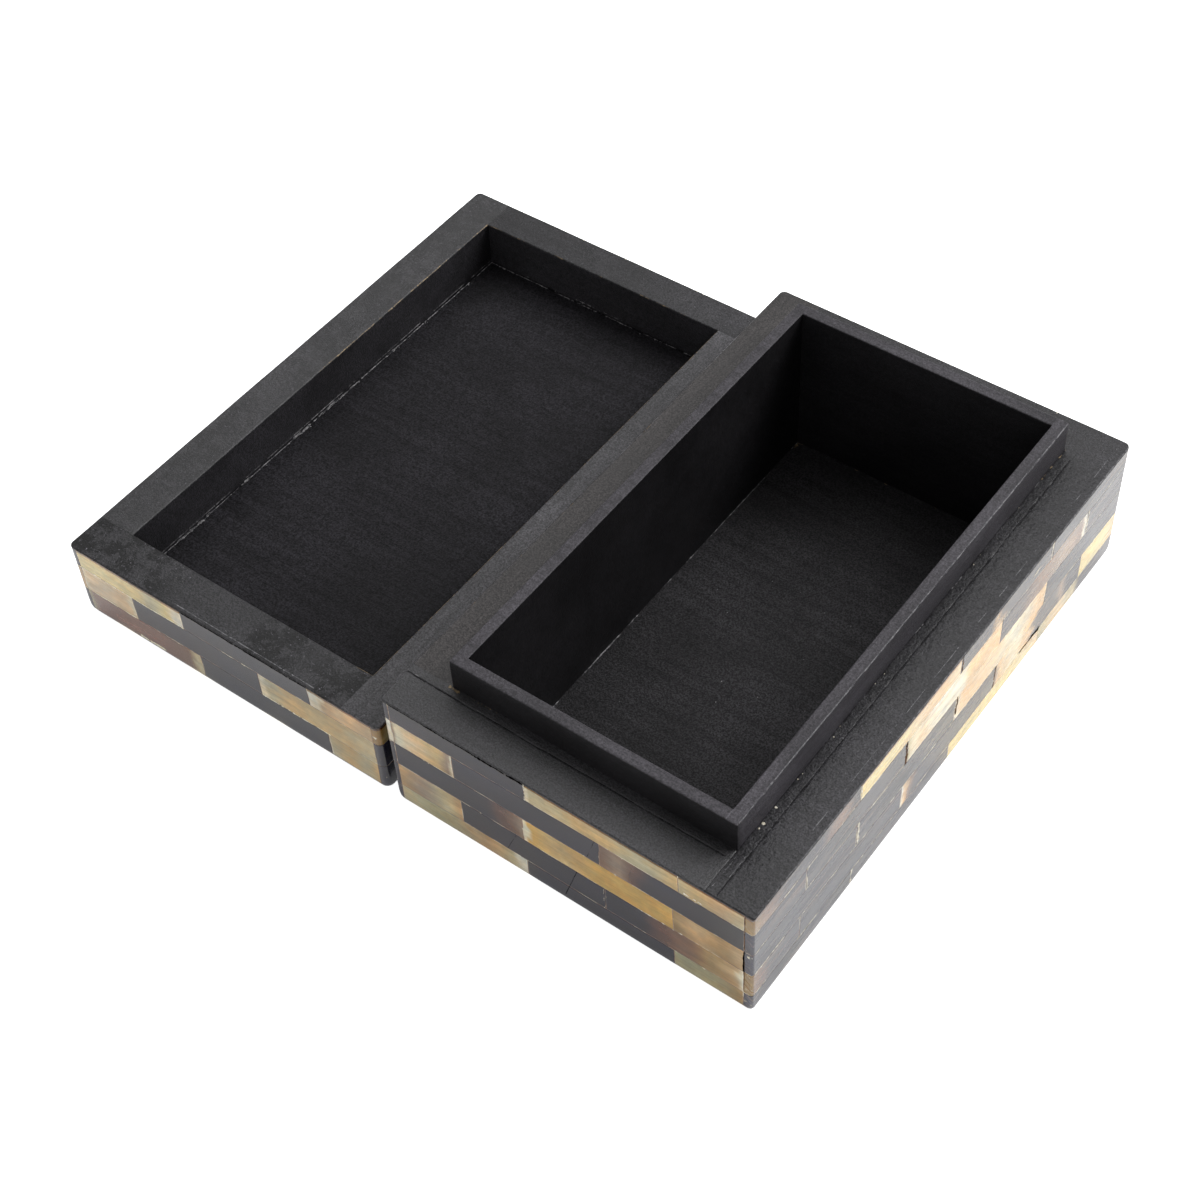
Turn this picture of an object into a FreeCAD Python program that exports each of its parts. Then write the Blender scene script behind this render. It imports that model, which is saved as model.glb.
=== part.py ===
import FreeCAD, Part
import os

# A trinket box of two loose halves, clad outside with a mosaic of polished horn tiles.
# Millimetres. The origin is the centre of the base's underside: X across the width, Y along
# the length towards the back, Z up. The base stands upright, and the lid lies beside it,
# to its left, upside down on the same table, as when the box is laid open.

os.makedirs("parts", exist_ok=True)
V = FreeCAD.Vector

# Outside of the box
BOX_W = 125.0
BOX_L = 203.0
BASE_H = 49.0
LID_H = 31.85
CORNER_R = 2.0
EDGE_R = 2.5
RIM_EASE = 0.4

# Horn veneer: thin tiles in courses, with resin in the seams
TILE_T = 2.75
LEAST_TILE_L = 6.0
COURSE_H = 10.25
SEAM = 0.35

# Base: outer wall boards, ledge boards behind them that the lid's rim sits on, and the liner,
# which stands up as a lip. The ledges differ, because the liner was glued in a little off centre.
WALL_T = 9.2
LEDGE_T = {"front": 3.05, "right": 3.45, "back": 1.05, "left": 2.45}
LINER_T = 3.85
LIP_H = 11.3
LIP_ARRIS = 0.4
FLOOR_T = 3.5

# Lid: the room that its walls leave round the lip, on three sides of the base. The right side has
# more, so that the lid's far wall still clears the lip by SWING_GAP as the lid is turned over.
LIP_ROOM = {"front": 0.6, "back": 0.6, "left": 0.5}
SWING_GAP = 0.15
LID_TOP_T = 9.0
PANEL_T = 3.55
PANEL_GAP = 0.3

# Where the lid lies when the box is laid open
REST_GAP = 3.1

# Worked out from the sizes above. The turning line runs midway between the halves, at the height
# that brings rim to rim. The lid's left wall is the one that closes on the base's right side.
SIDES = ("front", "right", "back", "left")
TURNED = {"front": "front", "right": "left", "back": "back", "left": "right"}
FRAME_W = BOX_W - 2 * TILE_T
FRAME_L = BOX_L - 2 * TILE_T
BASE_LAMINATE = {side: WALL_T + LEDGE_T[side] for side in SIDES}
LIP_REACH = BOX_W + REST_GAP / 2 - TILE_T - BASE_LAMINATE["right"]
RIM_RISE = (BASE_H - LID_H) / 2
LIP_TOP_SWING = (LIP_REACH ** 2 + 2 * RIM_RISE * LIP_H + LIP_H ** 2) ** 0.5
LIP_ROOM["right"] = LIP_TOP_SWING - LIP_REACH + SWING_GAP
LID_WALLS = {side: BASE_LAMINATE[TURNED[side]] - LIP_ROOM[TURNED[side]] for side in SIDES}
LID_FLOOR = TILE_T + LID_TOP_T
LID_X = -(BOX_W + REST_GAP)

# How each side is laid: one word for each course, the rim's first, and one letter for each
# tile, from left to right on the short sides and from the front backwards on the long ones.
TONES = {"K": "black", "A": "amber", "B": "brown"}
BASE_LAYOUT = {
    "front": "KAA AKB KAA AKB AKA",
    "right": "BAKK KKABK KKAK BKKBA KKAB",
    "back": "AKA KAK ABK KKA BAK",
    "left": "KAKK AKKAK KKAB BKAKK KAKA",
}
LID_LAYOUT = {
    "front": "AKA AKA BKA",
    "right": "AKAK KAKKB KKAK",
    "back": "KAB AKK KAK",
    "left": "KAKB AKKAK KBKA",
}
TOP_LAYOUT = "KAKK AKKBK KKAK KBKKA AKKB KAKKK KKBA AKAKK KAKK BKKAK KAKA KKBKA"

# Length of the first tile of each course, which sets the bond, and of the tiles after it
SHORT_COURSES = ((47.9, 50.6), (22.0, 50.6), (46.0, 50.6), (23.2, 50.6), (46.2, 50.6))
LONG_COURSES = ((51.2, 52.5), (25.0, 51.3), (50.6, 52.5), (22.8, 52.3), (49.4, 52.9))
LID_SHORT_COURSES = ((44.2, 50.9), (22.2, 51.8), (48.4, 51.9))
LID_LONG_COURSES = ((51.0, 52.1), (25.0, 51.6), (52.2, 52.1))
TOP_COURSES = ((50.0, 52.1), (24.4, 51.9), (51.6, 52.3), (26.0, 51.8))


def box(x0, x1, y0, y1, z0, z1):
    """Upright block between two corners."""
    return Part.makeBox(x1 - x0, y1 - y0, z1 - z0, V(x0, y0, z0))


def level_edges(shape, height, along):
    """Straight edges of a shape that lie at one height and run one way."""
    found = []
    for edge in shape.Edges:
        start, end = (vertex.Point for vertex in edge.Vertexes)
        run = (end - start).normalize()
        if abs(start.z - height) + abs(end.z - height) < 1e-6 and abs(run.dot(along)) > 0.999:
            found.append(edge)
    return found


def upright_edges(shape):
    """Straight edges of a shape that stand upright."""
    return [e for e in shape.Edges if (e.Vertexes[1].Point - e.Vertexes[0].Point).normalize().z ** 2 > 0.999]


def envelope(height):
    """Finished outside of one half: upright corners and closed edge rounded, rim arris eased."""
    block = box(-BOX_W / 2, BOX_W / 2, -BOX_L / 2, BOX_L / 2, 0, height)
    outside = block.makeFillet(CORNER_R, upright_edges(block))
    for along in (V(1, 0, 0), V(0, 1, 0)):
        rounded = block.makeFillet(EDGE_R, level_edges(block, 0, along))
        outside = outside.common(rounded.makeChamfer(RIM_EASE, level_edges(rounded, height, along)))
    return outside


def courses(low, high):
    """Heights of the courses from the rim down. Whole courses start at the closed edge, and the
    one at the rim is cut to what is left."""
    whole = int((high - low) / COURSE_H)
    if high - low - whole * COURSE_H < COURSE_H / 4:
        whole -= 1
    levels = [low + number * COURSE_H for number in range(whole + 1)] + [high]
    return list(reversed(list(zip(levels, levels[1:]))))


def gap_at(value, edge, edge_gap):
    """Resin at one end of a tile: half a seam, or edge_gap where the whole side ends."""
    return edge_gap if abs(value - edge) < 1e-6 else SEAM / 2


def lay_course(start, end, first, length, end_gap):
    """Spans of the tiles in one course, with the resin taken off. A last bit too short to lay is
    left on the tile before it."""
    ends = [start, start + first]
    while ends[-1] + length < end - LEAST_TILE_L:
        ends.append(ends[-1] + length)
    ends.append(end)
    return [(a + gap_at(a, start, end_gap), b - gap_at(b, end, end_gap)) for a, b in zip(ends, ends[1:])]


def tone_at(row, place, count):
    """Letter of one tile in a course of count tiles. Where a course has more or fewer tiles than
    letters, the letters are spread over them."""
    return row[round(place * (len(row) - 1) / max(count - 1, 1))]


def side_tiles(side, low, high, low_gap, bonds, layout):
    """Plain blocks of the tiles on one upright side, each with its tone letter. The long sides'
    tiles run to the corners, and the short sides' tiles lie between them."""
    short = side in ("front", "back")
    reach = BOX_W / 2 - TILE_T if short else BOX_L / 2
    end_gap = SEAM if short else 0
    rows = layout.split()
    tiles = []
    for number, (bottom, top) in enumerate(courses(low, high)):
        row = rows[number % len(rows)]
        z0 = bottom + gap_at(bottom, low, low_gap)
        z1 = top - gap_at(top, high, 0)
        spans = lay_course(-reach, reach, *bonds[number % len(bonds)], end_gap)
        for place, (start, end) in enumerate(spans):
            block = {
                "front": (start, end, -BOX_L / 2, -BOX_L / 2 + TILE_T),
                "right": (BOX_W / 2 - TILE_T, BOX_W / 2, start, end),
                "back": (start, end, BOX_L / 2 - TILE_T, BOX_L / 2),
                "left": (-BOX_W / 2, -BOX_W / 2 + TILE_T, start, end),
            }[side]
            tiles.append((tone_at(row, place, len(spans)), box(*block, z0, z1)))
    return tiles


def top_tiles():
    """Plain blocks of the tiles on the lid's top, in courses along the length."""
    count = max(1, round(BOX_W / COURSE_H))
    width = BOX_W / count
    rows = TOP_LAYOUT.split()
    tiles = []
    for number in range(count):
        row = rows[number % len(rows)]
        left = -BOX_W / 2 + number * width
        x0 = left + gap_at(left, -BOX_W / 2, 0)
        x1 = left + width - gap_at(left + width, BOX_W / 2, 0)
        spans = lay_course(-BOX_L / 2, BOX_L / 2, *TOP_COURSES[number % len(TOP_COURSES)], 0)
        for place, (start, end) in enumerate(spans):
            tiles.append((tone_at(row, place, len(spans)), box(x0, x1, start, end, 0, TILE_T)))
    return tiles


def wall_board(side, outer, inner, corner, z0, z1):
    """One board of a wall frame, between two depths from the frame's outside. Each side runs past
    the end of the next one, all the way round, and corner is how deep the sides' ends go."""
    x, y = FRAME_W / 2, FRAME_L / 2
    spans = {
        "front": (-x, x - corner["right"], -y + outer, -y + inner),
        "right": (x - inner, x - outer, -y, y - corner["back"]),
        "back": (-x + corner["left"], x, y - inner, y - outer),
        "left": (-x + outer, -x + inner, -y + corner["front"], y),
    }
    return box(*spans[side], z0, z1)


def inside_walls(depth, gap):
    """Corners in plan of the space within walls of these depths, less a gap all round."""
    x0 = -FRAME_W / 2 + depth["left"] + gap
    x1 = FRAME_W / 2 - depth["right"] - gap
    y0 = -FRAME_L / 2 + depth["front"] + gap
    y1 = FRAME_L / 2 - depth["back"] - gap
    return x0, x1, y0, y1


def liner_board(side):
    """One board of the liner. It stands on the floor and rises past the rim as the lip that the
    lid closes round. The long boards run full length, and the short ones fit between them."""
    x0, x1, y0, y1 = inside_walls(BASE_LAMINATE, 0)
    spans = {
        "front": (x0 + LINER_T, x1 - LINER_T, y0, y0 + LINER_T),
        "right": (x1 - LINER_T, x1, y0, y1),
        "back": (x0 + LINER_T, x1 - LINER_T, y1 - LINER_T, y1),
        "left": (x0, x0 + LINER_T, y0, y1),
    }
    board = box(*spans[side], FLOOR_T, BASE_H + LIP_H)
    along = V(1, 0, 0) if side in ("front", "back") else V(0, 1, 0)
    return board.makeFillet(LIP_ARRIS, level_edges(board, BASE_H + LIP_H, along))


def write(name, solids, shift_x=0):
    """One STEP file for a named piece, or for a set of like pieces that share a tone."""
    moved = [solid.translated(V(shift_x, 0, 0)) for solid in solids]
    shape = moved[0] if len(moved) == 1 else Part.makeCompound(moved)
    shape.exportStep("parts/" + name + ".step")


def write_tiles(name, tiles, outside, shift_x=0):
    """The tiles of one side, cut to the finished outside and sorted into one file for each tone."""
    for letter, tone in TONES.items():
        cut = [block.common(outside).Solids[0] for mark, block in tiles if mark == letter]
        if cut:
            write(name + "_tiles_" + tone, cut, shift_x)


def seam_resin(outside, low, high, tiles):
    """The resin between the tiles: the whole skin round the wall frame, less every tile."""
    frame = box(-FRAME_W / 2, FRAME_W / 2, -FRAME_L / 2, FRAME_L / 2, low, high)
    return outside.cut(frame).cut([block for mark, block in tiles]).Solids


def build_base():
    """The lower half: wall frame, ledge boards, liner, floor and mosaic."""
    outside = envelope(BASE_H)
    every = []
    for side, layout in BASE_LAYOUT.items():
        wall = wall_board(side, 0, WALL_T, BASE_LAMINATE, 0, BASE_H)
        ledge = wall_board(side, WALL_T, BASE_LAMINATE[side], BASE_LAMINATE, 0, BASE_H)
        write("base_" + side + "_wall", wall.common(outside).Solids)
        write("base_" + side + "_ledge", [ledge])
        write("base_" + side + "_liner", [liner_board(side)])
        bonds = SHORT_COURSES if side in ("front", "back") else LONG_COURSES
        tiles = side_tiles(side, 0, BASE_H, 0, bonds, layout)
        write_tiles("base_" + side, tiles, outside)
        every += tiles
    write("base_floor", [box(*inside_walls(BASE_LAMINATE, 0), 0, FLOOR_T)])
    write("base_seam_resin", seam_resin(outside, 0, BASE_H, every))


def build_lid():
    """The upper half, upside down: top mosaic on the table, top board, walls and inner panel."""
    outside = envelope(LID_H)
    every = top_tiles()
    write_tiles("lid_top", every, outside, LID_X)
    for side, layout in LID_LAYOUT.items():
        wall = wall_board(side, 0, LID_WALLS[side], LID_WALLS, LID_FLOOR, LID_H)
        write("lid_" + side + "_wall", wall.common(outside).Solids, LID_X)
        bonds = LID_SHORT_COURSES if side in ("front", "back") else LID_LONG_COURSES
        tiles = side_tiles(side, TILE_T, LID_H, SEAM, bonds, layout)
        write_tiles("lid_" + side, tiles, outside, LID_X)
        every = every + tiles
    top_board = box(-FRAME_W / 2, FRAME_W / 2, -FRAME_L / 2, FRAME_L / 2, TILE_T, LID_FLOOR)
    panel = box(*inside_walls(LID_WALLS, PANEL_GAP), LID_FLOOR, LID_FLOOR + PANEL_T)
    write("lid_top_board", top_board.common(outside).Solids, LID_X)
    write("lid_inner_panel", [panel], LID_X)
    write("lid_seam_resin", seam_resin(outside, TILE_T, LID_H, every), LID_X)


build_base()
build_lid()
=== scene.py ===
import logging
import math
import random
from dataclasses import dataclass, replace
from enum import Enum
from typing import Callable, Iterable, Sequence

import bmesh
import bpy
from mathutils import Matrix, Vector, noise


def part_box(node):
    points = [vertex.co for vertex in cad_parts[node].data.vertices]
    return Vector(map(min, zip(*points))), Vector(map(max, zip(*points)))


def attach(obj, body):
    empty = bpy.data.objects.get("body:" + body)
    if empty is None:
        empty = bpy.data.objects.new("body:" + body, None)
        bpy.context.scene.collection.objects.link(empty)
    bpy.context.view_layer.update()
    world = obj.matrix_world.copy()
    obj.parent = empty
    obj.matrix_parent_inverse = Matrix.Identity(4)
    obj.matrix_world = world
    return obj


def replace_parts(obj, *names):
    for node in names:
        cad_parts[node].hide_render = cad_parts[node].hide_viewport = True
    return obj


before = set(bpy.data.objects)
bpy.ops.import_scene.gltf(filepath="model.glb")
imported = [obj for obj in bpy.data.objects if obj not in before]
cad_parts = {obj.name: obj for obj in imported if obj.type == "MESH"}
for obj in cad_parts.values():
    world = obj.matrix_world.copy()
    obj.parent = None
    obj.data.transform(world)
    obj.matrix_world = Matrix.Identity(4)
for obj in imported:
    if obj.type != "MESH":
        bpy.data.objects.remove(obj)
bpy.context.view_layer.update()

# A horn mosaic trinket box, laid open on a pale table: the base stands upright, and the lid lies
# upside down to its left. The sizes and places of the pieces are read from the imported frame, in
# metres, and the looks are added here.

MM = 0.001
FACE_INSET = 0.03 * MM
RIM_PAINT = 0.5 * MM
STRAY = 0.06 * MM
STRAY_CELL = 16 * MM
# Without a seed, noise_vector gives other values each run.
STRAY_SEED = 7
LOG = logging.getLogger("trinket_box")

Colour = tuple[float, float, float]
Box = tuple[Vector, Vector]
Mesh = bmesh.types.BMesh
Socket = bpy.types.NodeSocket

WHITE = (1.0, 1.0, 1.0)
X_WAY, Y_WAY, Z_WAY = (1, 0, 0), (0, 1, 0), (0, 0, 1)
SIDES = ("front", "right", "back", "left")
ALONG_Y = math.pi / 2


def srgb(red: int, green: int, blue: int) -> Colour:
    """A colour given as the eye reads it, 0 to 255, as the linear values that a shader takes."""
    shares = (value / 255 for value in (red, green, blue))
    return tuple(s / 12.92 if s <= 0.04045 else ((s + 0.055) / 1.055) ** 2.4 for s in shares)


def between(first: Sequence[float], second: Sequence[float], share: float) -> Colour:
    """A colour part of the way from one to another."""
    return tuple(a + (b - a) * share for a, b in zip(first, second))


def ease_in(low: float, high: float, value: float) -> float:
    """Zero below low, one above high, and an even S in between."""
    share = min(max((value - low) / (high - low), 0.0), 1.0)
    return share * share * (3 - 2 * share)


class Side(Enum):
    """A face of one half of the box."""

    FRONT = "front"
    RIGHT = "right"
    BACK = "back"
    LEFT = "left"
    TOP = "top"


class Tone(Enum):
    """The three tones that the horn is sorted into."""

    BLACK = "black"
    AMBER = "amber"
    BROWN = "brown"


INK = srgb(37, 38, 56)
SOOT = srgb(24, 25, 34)
RED_BROWN = srgb(98, 68, 60)
ROSE = srgb(136, 96, 84)
CHESTNUT = srgb(128, 96, 76)
TAN = srgb(158, 136, 116)
PINK_TAN = srgb(176, 154, 130)
OCHRE = srgb(172, 142, 92)
BRONZE = srgb(138, 108, 52)
SAND = srgb(204, 170, 122)
KHAKI = srgb(208, 196, 156)
AMBER = srgb(220, 190, 130)
GOLD = srgb(222, 180, 92)
GREENISH = srgb(184, 178, 140)
PEACH = srgb(248, 206, 148)
SHELL = srgb(240, 212, 168)
STRAW = srgb(250, 228, 158)
CREAM = srgb(242, 234, 204)
IVORY = srgb(252, 247, 226)


class Horn(Enum):
    """How the colour of one tile runs along its length: pairs of a share of the length and a colour."""

    BLACK = ((0.0, INK), (1.0, INK))
    BLACK_RED_END = ((0.0, INK), (0.7, INK), (0.86, RED_BROWN), (0.95, CHESTNUT), (1.0, TAN))
    BLACK_TAN_BAND = ((0.0, INK), (0.33, INK), (0.4, SAND), (0.47, INK), (1.0, INK))
    BLACK_WARM = ((0.0, IVORY), (0.03, PEACH), (0.09, CHESTNUT), (0.14, INK), (1.0, INK))
    BLACK_SOOT = ((0.0, INK), (0.45, SOOT), (0.6, INK), (1.0, SOOT))
    PALE = ((0.0, CREAM), (0.018, CREAM), (0.03, KHAKI), (0.4, AMBER), (0.8, KHAKI), (1.0, AMBER))
    STRAW_CREAM_END = ((0.0, STRAW), (0.5, STRAW), (0.7, KHAKI), (0.88, STRAW), (0.94, IVORY), (1.0, IVORY))
    GOLD_CREAM_START = ((0.0, CREAM), (0.028, CREAM), (0.04, GOLD), (0.25, AMBER), (0.5, GOLD), (1.0, GOLD))
    GOLDEN = ((0.0, CREAM), (0.04, CREAM), (0.07, KHAKI), (0.3, AMBER), (0.6, AMBER), (1.0, KHAKI))
    SHORT_CREAM = ((0.0, TAN), (0.06, CREAM), (0.35, SHELL), (0.75, AMBER), (0.95, TAN), (1.0, CREAM))
    PINK = ((0.0, SAND), (0.4, PINK_TAN), (0.8, KHAKI), (1.0, SAND))
    SANDY = ((0.0, OCHRE), (0.3, SAND), (0.7, OCHRE), (1.0, SAND))
    PINK_SHELL = ((0.0, CREAM), (0.12, SHELL), (0.5, SHELL), (0.85, SHELL), (1.0, CREAM))
    PINK_PALE = ((0.0, KHAKI), (0.3, AMBER), (0.7, SAND), (1.0, KHAKI))
    PINK_CREAM_START = ((0.0, IVORY), (0.2, CREAM), (0.25, SAND), (0.6, PEACH), (1.0, SAND))
    GREEN = ((0.0, GREENISH), (0.5, GREENISH), (1.0, OCHRE))
    OLIVE = ((0.0, BRONZE), (0.1, GREENISH), (1.0, OCHRE))
    GREEN_CREAM_END = ((0.0, KHAKI), (0.3, GREENISH), (0.7, SAND), (0.9, KHAKI), (0.94, IVORY), (1.0, IVORY))
    STRAW_PEACH = ((0.0, STRAW), (0.4, STRAW), (0.6, SHELL), (0.8, PEACH), (1.0, SHELL))
    PEACH_CREAM = ((0.0, GREENISH), (0.06, CREAM), (0.15, SHELL), (0.33, IVORY), (0.56, IVORY), (0.66, PEACH),
                   (1.0, PEACH))
    PEACHY = ((0.0, IVORY), (0.08, PEACH), (0.4, SHELL), (0.7, CREAM), (1.0, PEACH))
    STRAW_YELLOW = ((0.0, STRAW), (0.6, STRAW), (1.0, SHELL))
    BROWN = ((0.0, BRONZE), (0.06, CHESTNUT), (0.22, RED_BROWN), (0.34, INK), (1.0, INK))
    BROWN_TO_BLACK = ((0.0, CHESTNUT), (0.14, TAN), (0.25, RED_BROWN), (0.36, INK), (1.0, SOOT))
    BLACK_TO_BROWN = ((0.0, INK), (0.26, INK), (0.4, RED_BROWN), (0.6, CHESTNUT), (0.78, OCHRE), (0.94, SAND),
                      (1.0, CREAM))
    BROWN_AMBER_END = ((0.0, GREENISH), (0.06, ROSE), (0.6, ROSE), (0.9, CHESTNUT), (0.95, KHAKI), (1.0, KHAKI))
    WARM_TO_BLACK = ((0.0, BRONZE), (0.12, CHESTNUT), (0.3, INK), (0.6, INK), (0.82, CHESTNUT), (1.0, SOOT))
    GREY_ROSE = ((0.0, INK), (0.18, INK), (0.45, CHESTNUT), (0.75, TAN), (0.93, CHESTNUT), (0.97, IVORY),
                 (1.0, INK))
    PEACH_TO_BLACK = ((0.0, CHESTNUT), (0.06, PEACH), (0.22, CREAM), (0.38, PEACH), (0.45, INK), (0.72, INK),
                      (0.78, TAN), (0.84, INK), (1.0, INK))
    AMBER_TO_BLACK = ((0.0, GREENISH), (0.3, SHELL), (0.46, KHAKI), (0.52, INK), (1.0, INK))


# The tiles that the open box shows, in the order in which they are laid, the rim's course first.
# Of a course that is named in part, the others are drawn from the stock.
SHOWN = {
    ("base", Side.FRONT): (
        (Horn.BLACK, Horn.PALE, Horn.PINK_PALE),
        (Horn.SHORT_CREAM, Horn.BLACK, Horn.BROWN_TO_BLACK),
        (Horn.BLACK_RED_END, Horn.GOLD_CREAM_START, Horn.SANDY),
        (Horn.PINK, Horn.BLACK, Horn.BLACK_TO_BROWN),
        (Horn.GREEN_CREAM_END, Horn.BLACK, Horn.GREEN),
    ),
    ("base", Side.RIGHT): (
        (Horn.WARM_TO_BLACK, Horn.STRAW_PEACH, Horn.BLACK_TAN_BAND, Horn.BLACK_SOOT),
        (Horn.BLACK, Horn.BLACK_SOOT, Horn.PEACH_CREAM, Horn.GREY_ROSE, Horn.BLACK),
        (Horn.BLACK, Horn.BLACK_SOOT, Horn.PEACHY, Horn.BLACK),
        (Horn.BROWN, Horn.BLACK, Horn.BLACK_WARM, Horn.PEACH_TO_BLACK, Horn.STRAW_YELLOW),
        (Horn.BLACK_SOOT, Horn.BLACK, Horn.STRAW_YELLOW, Horn.AMBER_TO_BLACK),
    ),
    ("lid", Side.FRONT): (
        (Horn.STRAW_CREAM_END, Horn.BLACK, Horn.PINK_CREAM_START),
        (Horn.PINK_SHELL, Horn.BLACK, Horn.GOLDEN),
        (Horn.BROWN_AMBER_END, Horn.BLACK, Horn.PALE),
    ),
    ("lid", Side.RIGHT): ((Horn.OLIVE,), (Horn.BLACK,), (Horn.BLACK,)),
}

# What the other tiles are drawn from
STOCK = {
    Tone.BLACK: (Horn.BLACK, Horn.BLACK, Horn.BLACK_SOOT, Horn.BLACK_RED_END, Horn.BLACK_WARM),
    Tone.AMBER: (Horn.PALE, Horn.GOLDEN, Horn.GREEN, Horn.GOLD_CREAM_START, Horn.STRAW_PEACH, Horn.PINK),
    Tone.BROWN: (Horn.BROWN, Horn.BROWN_TO_BLACK, Horn.BLACK_TO_BROWN, Horn.BROWN_AMBER_END),
}


class Graph:
    """Adds and links the nodes of one shader tree."""

    def __init__(self, tree: bpy.types.NodeTree) -> None:
        """Keep the tree, and clear it."""
        self.tree = tree
        tree.nodes.clear()

    def add(self, kind: str, *values: object, **settings: object) -> bpy.types.Node:
        """Add one node.

        Args:
            kind: The node's type, without the word ShaderNode.
            values: What goes to its inputs in order. None leaves an input as it is.
            settings: With a capital, the input of that name, an underscore standing for a space;
                otherwise a property of the node.

        Returns:
            The new node.
        """
        node = self.tree.nodes.new("ShaderNode" + kind)
        for name, value in settings.items():
            if name[0].isupper():
                self.feed(node.inputs[name.replace("_", " ")], value)
            else:
                setattr(node, name, value)
        for place, value in enumerate(values):
            self.feed(node.inputs[place], value)
        return node

    def feed(self, socket: Socket, value: object) -> None:
        """Link an output to a socket, or set the socket's own value."""
        if isinstance(value, Socket):
            self.tree.links.new(value, socket)
        elif isinstance(value, tuple) and socket.type == "RGBA":
            socket.default_value = (*value, 1.0)
        elif value is not None:
            socket.default_value = value

    def math(self, operation: str, *values: object) -> Socket:
        """Result of one Math node."""
        return self.add("Math", *values, operation=operation).outputs[0]

    def times(self, first: object, second: object) -> Socket:
        """One value times another."""
        return self.math("MULTIPLY", first, second)

    def scaled(self, value: object, factor: object, added: object) -> Socket:
        """A value times a factor, with something added."""
        return self.math("MULTIPLY_ADD", value, factor, added)

    def less(self, first: object, second: object) -> Socket:
        """One value less another."""
        return self.math("SUBTRACT", first, second)

    def place(self) -> Socket:
        """Where a point lies in its own object."""
        return self.add("TexCoord").outputs["Object"]

    def mix(self, share: object, first: object, second: object, mode: str = "MIX") -> Socket:
        """Result of mixing two colours."""
        node = self.add("Mix", data_type="RGBA", blend_type=mode)
        for place, value in zip((0, 6, 7), (share, first, second)):
            self.feed(node.inputs[place], value)
        return node.outputs[2]

    def grey(self, value: object) -> Socket:
        """A number as a grey colour."""
        return self.add("CombineColor", value, value, value).outputs[0]

    def ramp(self, value: object, low: object, high: object, start: float = 0.0,
             end: float = 1.0) -> Socket:
        """A value spread smoothly from one range to another."""
        return self.add("MapRange", value, low, high, start, end, interpolation_type="SMOOTHSTEP").outputs[0]

    def noise(self, vector: object, scale: float, detail: float = 2.0, rough: float = 0.5) -> Socket:
        """Grey noise, with so many cells to the metre."""
        return self.add("TexNoise", Vector=vector, Scale=scale, Detail=detail, Roughness=rough).outputs[0]

    def stretched(self, vector: object, scale: tuple[float, float, float]) -> Socket:
        """Coordinates scaled axis by axis."""
        return self.add("Mapping", Vector=vector, Scale=scale).outputs[0]


def node_group(name: str, inputs: dict[str, float], output: str,
               fill: Callable[[Graph, bpy.types.Node], Socket]) -> bpy.types.NodeTree:
    """Build one shared effect with one number as its result.

    Args:
        name: The group's name.
        inputs: Names of its number inputs, with their usual values.
        output: Name of its result.
        fill: Adds the nodes after the group's input node, and returns the socket of the result.

    Returns:
        The group's tree.
    """
    tree = bpy.data.node_groups.new(name, "ShaderNodeTree")
    graph = Graph(tree)
    for label, value in inputs.items():
        tree.interface.new_socket(label, in_out="INPUT", socket_type="NodeSocketFloat").default_value = value
    tree.interface.new_socket(output, in_out="OUTPUT", socket_type="NodeSocketFloat")
    result = fill(graph, tree.nodes.new("NodeGroupInput"))
    tree.links.new(result, tree.nodes.new("NodeGroupOutput").inputs[output])
    return tree


def dust_nodes(graph: Graph, given: bpy.types.Node) -> Socket:
    """Fine dust: small pale dots, thicker in some places than in others."""
    place = graph.place()
    dots = graph.noise(place, 1900.0, 3.0, 0.75)
    drifts = graph.noise(place, 55.0, 4.0, 0.65)
    level = graph.scaled(drifts, -0.34, 0.9)
    level = graph.less(level, graph.times(given.outputs["Amount"], 0.12))
    return graph.ramp(graph.less(dots, level), 0.0, 0.08)


def brush_nodes(graph: Graph, given: bpy.types.Node) -> Socket:
    """Brush marks: long fine ridges along X, turned by an angle."""
    place = graph.place()
    angle = given.outputs["Angle"]
    turned = graph.add("VectorRotate", Vector=place, Angle=angle, rotation_type="Z_AXIS").outputs[0]
    fine = graph.noise(graph.stretched(turned, (60.0, 1500.0, 1500.0)), 1.0, 3.0, 0.6)
    broad = graph.noise(graph.stretched(turned, (14.0, 260.0, 260.0)), 1.0, 2.0)
    return graph.scaled(broad, 0.6, graph.times(fine, 0.6))


def wear_nodes(graph: Graph, given: bpy.types.Node) -> Socket:
    """Wear that follows the arris attribute, broken up along the edge."""
    place = graph.place()
    edge = graph.add("Attribute", attribute_name="arris").outputs["Fac"]
    patches = graph.noise(place, 70.0, 4.0, 0.65)
    grain = graph.noise(place, 900.0, 2.0)
    reach = graph.scaled(grain, 0.35, graph.times(patches, 1.1))
    reach = graph.math("ADD", reach, graph.times(edge, 0.55))
    limit = graph.less(1.7, graph.times(given.outputs["Amount"], 0.5))
    return graph.ramp(graph.less(reach, limit), 0.0, 0.08)


class SharedEffects:
    """Node groups that more than one finish uses."""

    def __init__(self) -> None:
        """Build each group once."""
        self.dust = node_group("fine_dust", {"Amount": 0.5}, "Mask", dust_nodes)
        self.brush = node_group("brush_marks", {"Angle": 0.0}, "Height", brush_nodes)
        self.wear = node_group("worn_arris", {"Amount": 0.5}, "Mask", wear_nodes)


def new_material(name: str, preview: Colour) -> tuple[bpy.types.Material, Graph]:
    """A material with an empty tree and a viewport colour."""
    material = bpy.data.materials.new(name)
    material.use_nodes = True
    material.diffuse_color = (*preview, 1.0)
    return material, Graph(material.node_tree)


def shade(graph: Graph, **sockets: object) -> None:
    """Add the Principled shader with these sockets fed, and the output."""
    shader = graph.add("BsdfPrincipled", **sockets)
    graph.add("OutputMaterial", shader.outputs[0])


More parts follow.
